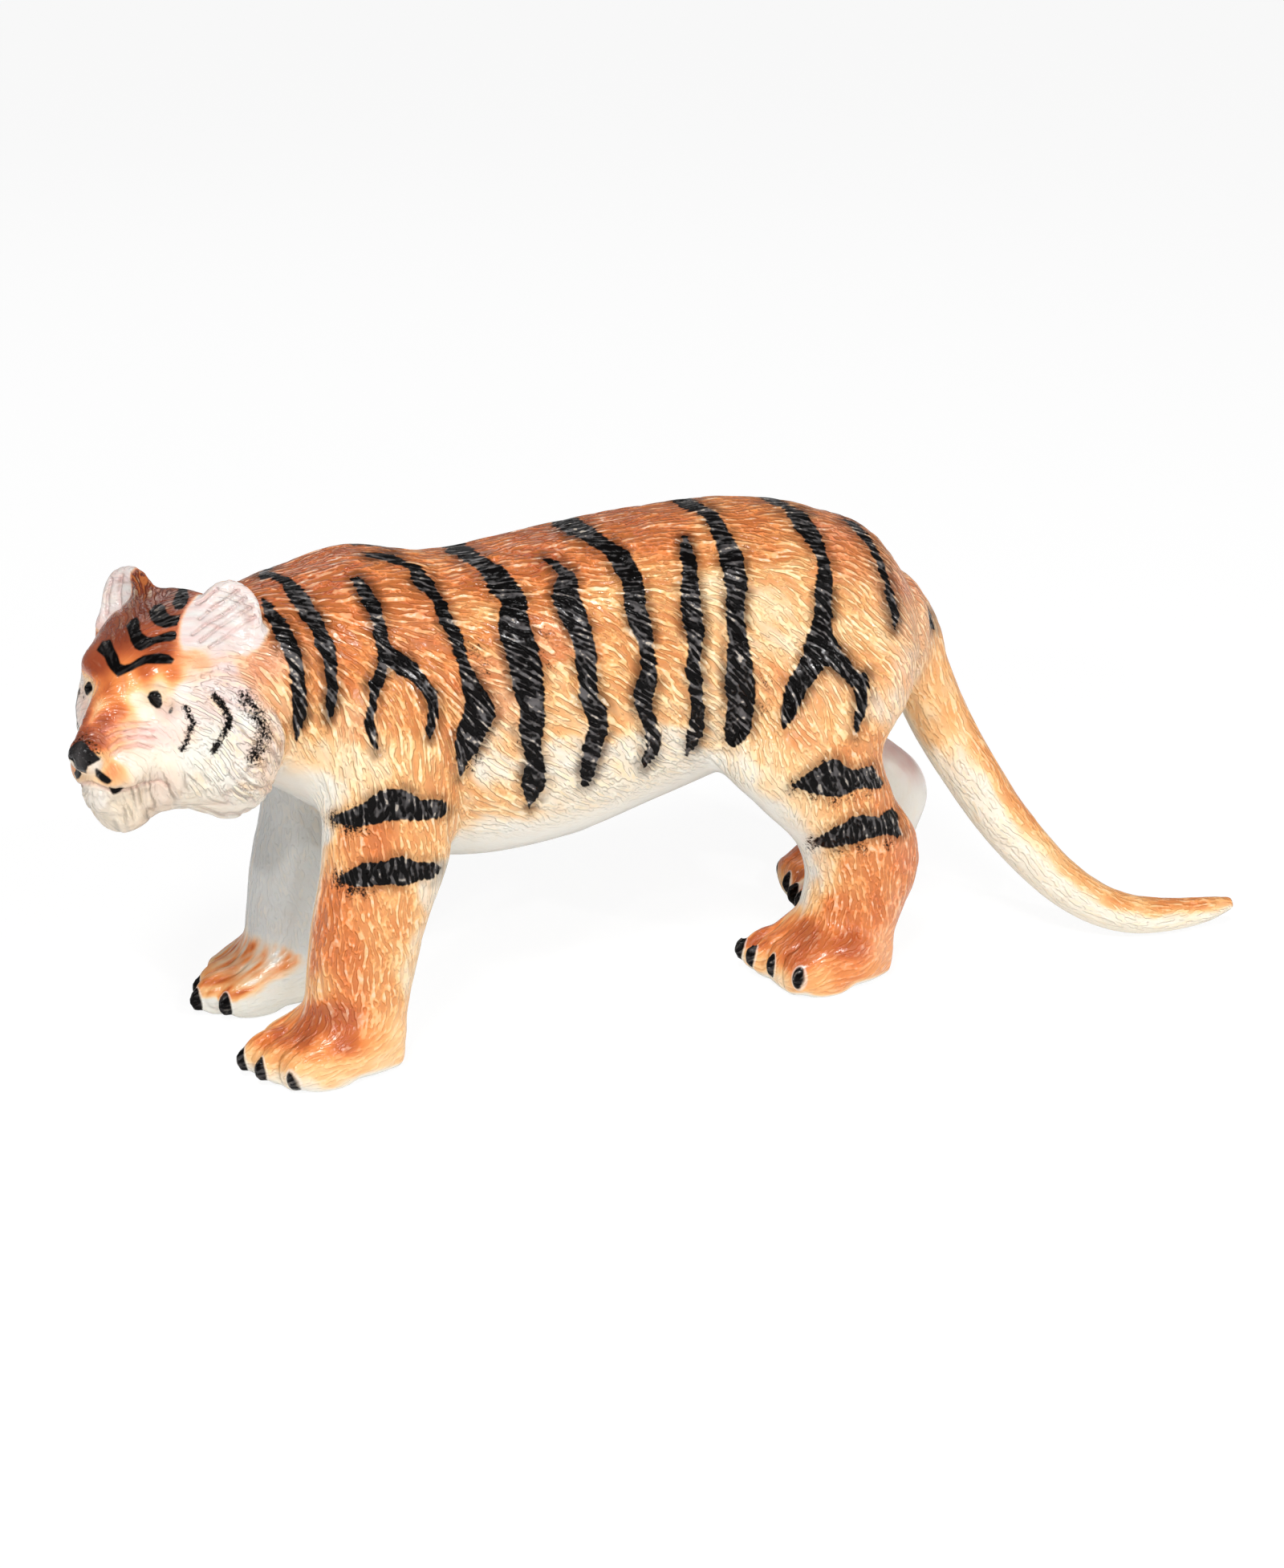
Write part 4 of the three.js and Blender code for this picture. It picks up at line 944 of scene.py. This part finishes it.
# Black marks in millimetres from their edges
brow_spread, no_ink_in_ears = 1.6, 60
overspread, bare_gap, far_eye_gap, claw_far = 0.14, 8.0, 0.32, 6.0
leg_or_body, on_head = head_side < 0.5, head_side >= 0.5
outer = leg_or_body & ((outward > -0.15) | (share["trunk_skin"] > 0.6))
ink = mark_gap(body_place, stripes, outer & (share["tail"] < 0.6))
ink = np.minimum(ink, mark_gap(body_place, tail_marks, share["tail"] > 0.2))
ink = np.minimum(ink, mark_gap(head_place, head_marks, on_head) + no_ink_in_ears * ear_inside - brow_spread)
ink = ink / pixels_per_mm - overspread * (1 - head_side)
bare_chest = ramp(0.35, 0.7, plain) * share["trunk_skin"] * ramp(-50, -58, x)
ink = ink + bare_gap * bare_chest
ink = ink + far_eye_gap * (shown < 0.5) * on_head * ramp(28, 25, head_a) * ramp(14, 17, head_a)
claw_gap = np.full(len(points), claw_far)
for side, tables, move, heel, middle, foot, toes, spread in legs.values():
    claw_gap = np.minimum(claw_gap, claws(x, y, z, side, heel, middle, toes, spread))

# Thinner black: dabs (across, down, reach, strength) and lines (points, reach, strength) in pixels
spray = [
    (418, 1022, 13, 0.9), (436, 1032, 12, 0.8), (452, 1034, 10, 0.6), (440, 1006, 10, 0.5),
    (426, 1096, 14, 0.9), (440, 1108, 13, 0.8), (456, 1112, 11, 0.6), (436, 1084, 10, 0.5),
    (992, 981, 12, 0.7), (1015, 990, 12, 0.7), (1040, 996, 12, 0.6), (1030, 950, 12, 0.5),
    (1062, 990, 12, 0.5), (1086, 990, 10, 0.4), (1014, 1050, 12, 0.7), (1045, 1062, 12, 0.5),
    (1075, 1056, 12, 0.6), (1105, 1050, 12, 0.6), (600, 880, 20, 0.8), (603, 910, 16, 0.7),
    (592, 940, 13, 0.7), (585, 955, 10, 0.5), (594, 850, 14, 0.5), (592, 808, 17, 0.42), (604, 832, 14, 0.4),
    (612, 724, 14, 0.5), (668, 815, 12, 0.5), (650, 925, 12, 0.5), (662, 975, 20, 0.4), (676, 792, 15, 0.4),
    (686, 830, 13, 0.35), (936, 850, 12, 0.5), (938, 890, 12, 0.5), (930, 800, 9, 0.4), (952, 850, 15, 0.4),
    (950, 885, 14, 0.4),
]
cheek_marks = [
    ([(231, 881), (236, 893), (242, 903), (236, 912), (233, 923), (227, 934)], 5.0, 0.92),
    ([(267, 868), (278, 881), (287, 896), (285, 907), (277, 918), (267, 935)], 5.6, 1.1),
    ([(305, 870), (315, 884), (325, 899), (329, 911), (328, 920)], 12.5, 0.78),
    ([(322, 927), (325, 935), (316, 946)], 10.5, 0.78),
    ([(90, 921), (102, 920), (113, 929), (120, 938)], 8.0, 0.6),
    ([(74, 940), (79, 925)], 7.0, 0.5),
]
smudge = np.zeros(len(points))
for px, py, reach, strength in spray:
    gap = np.hypot(body_place[:, 0] - px, body_place[:, 1] - py)
    smudge = np.maximum(smudge, strength * bell(gap / reach) * outer)
smudge *= 1 - bare_chest
for line, reach, strength in cheek_marks:
    smudge = np.maximum(smudge, strength * bell(line_gap(head_place, [line]) / reach) * on_head)


# Colours of the paint, and of painted shade and painted light, as red, green and blue light
def light(r, g, b):
    s = np.array([r, g, b]) / 255
    return np.where(s <= 0.04045, s / 12.92, ((s + 0.055) / 1.055) ** 2.4)


white_vinyl = light(232, 232, 226)
# Painted shade on the inside of the far foreleg, which the near leg shades
far_foreleg_shade = light(214, 215, 213)
cream_paint = light(250, 224, 176)
paint_stops = {
    0: (252, 212, 160), 0.35: (250, 203, 146), 0.62: (245, 180, 114), 0.85: (237, 154, 88),
    1.05: (229, 131, 66), 1.3: (192, 94, 46), 1.6: (150, 66, 34), 1.9: (105, 42, 24),
}
paint_colours = np.array([light(*colour) for colour in paint_stops.values()])
# Orange that, darkened, is painted into the fur's grooves as shade
groove_shade_orange = light(229, 131, 66)
pink_paint = light(226, 158, 150)
shadow_pink = light(206, 168, 156)
# Painted highlight along the moulded parting-line ridges of the legs
seam_highlight = light(240, 226, 206)
chin_shade = light(198, 182, 160)
# Painted light: a brighter white on the far hind leg, which the lamps reach little
far_hindleg_light = light(255, 251, 243)
ear_shade = light(214, 205, 203)
most_orange = max(paint_stops)
sprayed_orange = np.clip(orange - 0.07 * broad * fur, 0, most_orange)
laid = np.stack([np.interp(sprayed_orange, list(paint_stops), column) for column in paint_colours.T], axis=1)
unpainted = 1 - np.clip(orange, 0, 1)
tint = np.tile(white_vinyl, (len(points), 1))
# Layers over the bare vinyl: paint, then painted shade on the far foreleg, ear hollows, chin and cheek
# creases, and painted light on the far hind leg and parting lines
for layer, amount in (
    (cream_paint, cream * 0.9),
    (laid, ramp(0.0, 0.45, sprayed_orange)),
    (far_foreleg_shade, share["foreleg_right"] * plain * unpainted * ramp(6, 14, z)),
    (far_hindleg_light, share["hindleg_right"] * plain * unpainted),
    (ear_shade, 0.5 * ear_inside),
    (pink_paint, pink * 0.8),
    (chin_shade, chin * unpainted * (0.34 + 0.15 * lock_crease)),
    (shadow_pink, ruff * lock_crease * cheek_low * 0.35),
    (seam_highlight, np.clip(seam * (0.5 + 0.35 * broad), 0, 0.7)),
):
    tint = tint + (layer - tint) * amount[:, None]
points = points + normals * relief[:, None]
normals = corner_normals(points, quads)


# Node trees: a wire is an output of a node in the current tree, and its arithmetic adds math nodes
class Wire:
    def __init__(self, socket):
        self.socket = socket

    def __add__(self, other):
        return calc("ADD", self, other)

    def __mul__(self, other):
        return calc("MULTIPLY", self, other)

    def __sub__(self, other):
        return calc("SUBTRACT", self, other)

    def __rsub__(self, other):
        return calc("SUBTRACT", other, self)


def feed(target, **values):
    """Link a wire to an input of this node, or set its value."""
    for key, value in values.items():
        put(target.inputs[key.replace("_", " ")], value)


def put(socket, value):
    if isinstance(value, Wire):
        tree.links.new(value.socket, socket)
    else:
        socket.default_value = value


def node(kind, output, inputs=None, **settings):
    """One output of a new node with these inputs and settings."""
    made = tree.nodes.new("ShaderNode" + kind)
    for key, value in settings.items():
        setattr(made, key, value)
    for key, value in (inputs or {}).items():
        put(made.inputs[key], value)
    return Wire(made.outputs[output])


def calc(operation, *values, clamp=False):
    return node("Math", 0, dict(enumerate(values)), operation=operation, use_clamp=clamp)


def scaled(value, by, plus):
    return calc("MULTIPLY_ADD", value, by, plus)


def larger(first, second):
    return calc("MAXIMUM", first, second)


def attribute(name, output="Fac"):
    return node("Attribute", output, attribute_name=name)


def mix(amount, first, second, blend="MIX"):
    """Two colours mixed. Either is a wire, or red, green and blue."""
    first, second = (c if isinstance(c, Wire) else (*c, 1.0) for c in (first, second))
    return node("Mix", 2, {0: amount, 6: first, 7: second}, data_type="RGBA", blend_type=blend)


def step(value, low, high):
    limits = {"Value": value, "From Min": low, "From Max": high}
    return node("MapRange", "Result", limits, interpolation_type="SMOOTHSTEP")


def noise_node(scale, detail=2.0, rough=0.5, where=None):
    where = where or node("TexCoord", "Object")
    return node("TexNoise", "Fac", {"Vector": where, "Scale": scale, "Detail": detail, "Roughness": rough})


def fur_node(size, reach, taps):
    """Noise drawn out along the lie of the fur, about -1 to 1."""
    where, flow_at = node("TexCoord", "Object"), attribute("flow", "Vector")
    total = None
    for s in np.linspace(-1, 1, taps):
        inputs = {0: flow_at, 1: (s * reach / 1000,) * 3, 2: where}
        tap = noise_node(1000 / size, 0.0, where=node("VectorMath", 0, inputs, operation="MULTIPLY_ADD"))
        total = tap if total is None else total + tap
    return scaled(total, 11.0 / taps, -5.5)


def new_look(name):
    """A material, with its tree as the current one, and its shader."""
    look = bpy.data.materials.new(name)
    look.use_nodes = True
    return look, look.node_tree, look.node_tree.nodes["Principled BSDF"]


vinyl_bend = 1.48
hair_bump, mottle_bump, grain_bump, cloud_bump, millimetre = 0.00046, 0.00014, 0.00002, 0.00008, 0.001
painted, tree, shader = new_look("painted_vinyl")
grain = noise_node(1900, 2.0)
mottle = noise_node(300, 3.0)
# Scatter of the painted glints on the fur
glint_scatter = noise_node(800, 1.0)
patchy = noise_node(120, 2.0)
hair = fur_node(size=0.8, reach=1.9, taps=9)
furry = attribute("fur")
raised = step(hair, -0.45, 0.5)
# Painted highlight: cream on the fur's ridge tops. Painted shade: darker orange in its grooves
lit = step(hair, 0.3, 1.2) * furry * scaled(attribute("cream"), 0.55, 0.32)
base = mix(lit, attribute("tint", "Color"), cream_paint)
groove_shade = step(hair * -1.0, -0.1, 0.8) * furry
base = mix(groove_shade * calc("MULTIPLY", attribute("orange"), 0.85, clamp=True), base, groove_shade_orange * 0.55)
base = mix(step(mottle, 0.45, 0.75) * 0.12, base, (0.95, 0.7, 0.45), "MULTIPLY")

# Black paint: a ragged edge that follows the fur, and a thin brown haze of overspray round it, with painted
# sheen on the black and painted glints on the fur
brown_haze, black_paint, sheen_grey = (0.05, 0.016, 0.006), (0.002, 0.0015, 0.0015), (0.11, 0.1, 0.1)
# Colour of the painted glints on the fur's tips
glint_colour = (0.86, 0.74, 0.6)
from_claw, smudged = attribute("claw"), attribute("smudge")
base = mix((1.0 - step(from_claw, 0.4, 0.7)) * 0.45, base, white_vinyl)
edge = attribute("ink") + ((mottle - 0.5) * scaled(furry, 0.7, 0.1) + hair * (furry * 0.26))
haze = (1.0 - step(edge, 0.0, 2.8)) * (step(patchy, 0.3, 0.62) * 0.8) * furry
sprayed = step(smudged + (grain - 0.5) * 1.9 + hair * -0.12, 0.22, 0.95) * step(smudged, 0.03, 0.25)
solid_ink = larger(1.0 - step(edge, -0.3, 0.3), 1.0 - step(from_claw, 0.12, 0.4))
black = larger(solid_ink, larger(sprayed, haze))
# Where the black is glossy: there it gets a painted sheen of lighter grey, and keeps its full reflection
sheen_and_gloss = larger(step(hair, -0.3, 1.3) * scaled(furry, 0.8, 0.1), attribute("nose"))
ink_colour = mix(larger(solid_ink, sprayed), brown_haze, black_paint)
ink_colour = mix(sheen_and_gloss * solid_ink, ink_colour, sheen_grey)
# Painted glints: light flecks on the ridge tips of the fur
painted_glints = step(hair, 0.75, 1.3) * step(glint_scatter, 0.5, 0.62) * (furry * 0.5)
height = raised * (furry * hair_bump) + mottle * mottle_bump + grain * grain_bump
height = height + attribute("carved") * millimetre
feed(
    shader,
    Base_Color=mix(painted_glints, mix(black, base, ink_colour), glint_colour),
    Roughness=scaled(black, -0.04, scaled(grain, 0.14, 0.15)),
    Specular_IOR_Level=scaled(black * (1.0 - sheen_and_gloss), -0.4, 0.5),
    IOR=vinyl_bend,
    Subsurface_Weight=0.08,
    Subsurface_Scale=0.001,
    Subsurface_Radius=(1.0, 0.5, 0.3),
    Normal=node("Bump", "Normal", {"Distance": 1.0, "Height": height}),
)


# Pieces of the skin, each closed inside at its borders
def border_loops(faces):
    """Border loops of these faces, each as a ring of corner numbers."""
    edges, keys = edges_of(faces, len(points))
    _, first, uses = np.unique(keys, return_index=True, return_counts=True)
    following = {}
    for p, q in edges[first[uses == 1]].tolist():
        following.setdefault(p, []).append(q)
    loops = []
    while following:
        start = here = next(iter(following))
        loop = [start]
        while here in following:
            ways = following[here]
            here = ways.pop()
            if not ways:
                del following[loop[-1]]
            if here == start:
                break
            loop.append(here)
        if len(loop) > 2:
            loops.append(loop)
    return loops


def new_mesh(name, places, faces, look):
    mesh = bpy.data.meshes.new(name)
    mesh.from_pydata((places + shift) / 1000, [], faces)
    mesh.shade_smooth()
    mesh.materials.append(look)
    return mesh


def new_object(name, content):
    made = bpy.data.objects.new(name, content)
    bpy.context.collection.objects.link(made)
    return made


def new_layer(mesh, name, kind, field, values):
    layer = mesh.attributes.new(name, kind, "POINT")
    layer.data.foreach_set(field, values.astype(np.float32).ravel())


# Painted highlight on the nose, strongest towards the camera's left, where the nose is also glossier
nose_sheen_and_gloss = share["head_skin"] * ramp(31.0, 33.0, head_a) * ramp(79.0, 81.0, z)
nose_sheen_and_gloss = nose_sheen_and_gloss * (0.06 + 0.7 * ramp(112, 82, head_place[:, 0]))
vertex_values = {
    "ink": ink, "claw": claw_gap, "carved": carved, "smudge": smudge, "fur": fur, "cream": cream,
    "orange": np.clip(orange, 0, 1.3), "nose": nose_sheen_and_gloss,
}
cap_values = {"ink": 3.0, "claw": 3.0}
cap_flow = [[1.0, 0.0, 0.0]]
for index, name in enumerate(part_names):
    faces = quads[labels == index]
    loops = border_loops(faces)
    used, flat = np.unique(faces, return_inverse=True)
    fans = []
    for cap, loop in enumerate(loops):
        rim = np.searchsorted(used, loop).tolist()
        fans += [(len(used) + cap, q, p) for p, q in zip(rim, rim[1:] + rim[:1])]
    places, colours, bends = (
        np.concatenate([rows[used], *(rows[loop].mean(axis=0)[None] for loop in loops)])
        for rows in (points, tint, normals)
    )
    mesh = new_mesh(name, places, flat.reshape(-1, 4).tolist() + fans, painted)
    for key, values in vertex_values.items():
        values = np.append(values[used], [cap_values.get(key, 0.0)] * len(loops))
        new_layer(mesh, key, "FLOAT", "value", values)
    lying = np.concatenate([(flow * stroke)[used], np.tile(cap_flow, (len(loops), 1))])
    new_layer(mesh, "flow", "FLOAT_VECTOR", "vector", lying)
    new_layer(mesh, "tint", "FLOAT_COLOR", "color", np.insert(colours, 3, 1.0, axis=1))
    mesh.normals_split_custom_set_from_vertices(unit(bends).tolist())
    piece = new_object(f"look_{name}", mesh)
    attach(piece, "root")
    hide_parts(name)

# Filling, out of sight inside the skin
skin_wall = 2.6
filling_end = 68
fibre_look, tree, shader = new_look("polyester_fibre")
tufts = noise_node(500, 4.0, 0.7)
feed(shader, Base_Color=mix(tufts, (0.82, 0.81, 0.78), (0.96, 0.95, 0.93)), Roughness=tufts * 0.1 + 0.85)
inner_points, inner_quads = skin_of(clay[::2, ::2, ::2] + skin_wall, pitch * 2)
in_tail = inner_points[:, 0] > filling_end
used, flat = np.unique(inner_quads[~in_tail[inner_quads].any(axis=1)], return_inverse=True)
inner_points = inner_points[used]
inner_points += 0.5 * np.stack([noise(inner_points, 4, seed) for seed in (7, 8, 9)], axis=1)
fibre_mesh = new_mesh("fibre_filling", inner_points, flat.reshape(-1, 4).tolist(), fibre_look)
fibre = new_object("look_fibre_filling", fibre_mesh)
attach(fibre, "root")
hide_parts("fibre_filling")

# Belly plug, a flat button of plain vinyl with a raised ring, level with the belly
ring_radii = np.array([0, 1.2, 1.7, 2.2, 3.6, 4.6, 4.9, 5.2, 5.7, 6.0, 6.3, 6.8, 7.15, 7.4, 7.5, 7.5, 7.4])
ring_heights = np.array([0.7, 0.6, 0.1, 0, 0, 0, -0.15, -0.4, -0.4, -0.15, 0, 0, 0.12, 0.4, 0.8, 2.4, 2.7])
ring_radii = ring_radii * plug_reach / ring_radii.max()
around = 96
turns = np.linspace(0, 2 * math.pi, around, endpoint=False)
plug_x = plug_place[0] + ring_radii[1:, None] * np.cos(turns)
plug_y = plug_place[1] + ring_radii[1:, None] * np.sin(turns)


def belly(x, y):
    """Height of the underside of the trunk."""
    level, tall, middle, wide = trunk_section(x)
    return level - tall * (1 - (np.abs(y - middle) / wide) ** trunk_square) ** (1 / trunk_square)


plug_z = belly(plug_x, plug_y) + ring_heights[1:, None]
crown, ceiling = ([*plug_place, float(belly(*plug_place)) + ring_heights[i]] for i in (0, -1))
plug_points = np.concatenate([[crown], np.stack([plug_x, plug_y, plug_z], axis=2).reshape(-1, 3), [ceiling]])
plug_faces = []
last_ring = len(ring_radii) - 2
for i in range(around):
    j = (i + 1) % around
    plug_faces.append((0, 1 + j, 1 + i))
    for ring in range(last_ring):
        at = 1 + ring * around
        plug_faces.append((at + i, at + j, at + around + j, at + around + i))
    at = 1 + last_ring * around
    plug_faces.append((at + i, at + j, len(plug_points) - 1))
plug_look, tree, shader = new_look("plain_vinyl")
cloud = noise_node(260, 3.0)
feed(
    shader,
    Base_Color=mix(cloud, white_vinyl * 0.9, white_vinyl),
    Roughness=scaled(noise_node(1900, 2.0), 0.14, 0.24),
    IOR=vinyl_bend,
    Normal=node("Bump", "Normal", {"Distance": 1.0, "Height": cloud * cloud_bump}),
)
plug = new_object("look_belly_plug", new_mesh("belly_plug", plug_points, plug_faces, plug_look))
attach(plug, "root")
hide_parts("belly_plug")

# Floor, which the camera sees as nearly plain white, with the toy's shadow
floor_reach, floor_drop = 4, 0.0003
floor_look, tree, shader = new_look("floor_white")
feed(shader, Base_Color=mix(noise_node(60, 2.0), (0.93,) * 3, (0.96,) * 3), Roughness=0.9)
seen_white = 1.05
glow = node("Emission", 0, {"Strength": seen_white})
to_camera = node("LightPath", "Is Camera Ray") * 0.86
lit_floor = node("MixShader", 0, {0: to_camera, 1: Wire(shader.outputs[0]), 2: glow})
put(tree.nodes["Material Output"].inputs["Surface"], lit_floor)
floor_mesh = bpy.data.meshes.new("floor")
floor_corners = [(sx * floor_reach, sy * floor_reach, 0) for sx, sy in ((-1, -1), (1, -1), (1, 1), (-1, 1))]
floor_mesh.from_pydata(floor_corners, [], [(0, 1, 2, 3)])
floor_mesh.materials.append(floor_look)
floor = new_object("floor", floor_mesh)
floor.location.z = -floor_drop

# Lamps, with place, aim, size and watts
lamps = {
    "key": ((-0.45, -0.7, 1.05), (0, 0, 0.05), 0.26, 7.7),
    "glint_left": ((-0.75, -0.65, 0.55), (0, 0, 0.06), 0.05, 2.2),
    "glint_high": ((0.2, -0.85, 0.75), (0, 0, 0.06), 0.05, 2.8),
    "glint_low": ((-0.2, -1.0, 0.3), (0, 0, 0.06), 0.05, 0.8),
    "fill": ((0.7, -0.8, 0.5), (0, 0, 0.05), 0.7, 1.6),
    "side": ((0.8, -0.45, 0.12), (0.05, 0, 0.04), 0.4, 0.9),
    "back": ((0.1, 0.9, 0.9), (0, 0, 0.05), 0.6, 1.5),
}
for name, (place, aim, size, watts) in lamps.items():
    data = bpy.data.lights.new(name, "AREA")
    data.shape = "DISK"
    data.size = size
    data.energy = watts
    lamp = new_object(name, data)
    lamp.location = place
    lamp.rotation_euler = (Vector(aim) - Vector(place)).to_track_quat("-Z", "Y").to_euler()

scene = bpy.context.scene
scene.world = bpy.data.worlds.new("studio")
scene.world.use_nodes = True
tree = scene.world.node_tree
room = tree.nodes["Background"]
feed(room, Color=(1, 1, 1, 1), Strength=0.25)
backdrop = node("Background", 0, {"Color": (1, 1, 1, 1), "Strength": seen_white})
either = node("MixShader", 0, {0: node("LightPath", "Is Camera Ray"), 1: Wire(room.outputs[0]), 2: backdrop})
put(tree.nodes["World Output"].inputs["Surface"], either)
scene.view_settings.view_transform = "Standard"

# Camera at the photograph's viewing angle
camera_data = bpy.data.cameras.new("photo_view")
camera_data.lens = lens
camera_data.sensor_width = sensor
camera = new_object("photo_view", camera_data)
camera.location = Vector((camera_place + shift) / 1000)
camera.rotation_mode = "QUATERNION"
camera.rotation_quaternion = Vector(-camera_back).to_track_quat("-Z", "Y")
scene.camera = camera
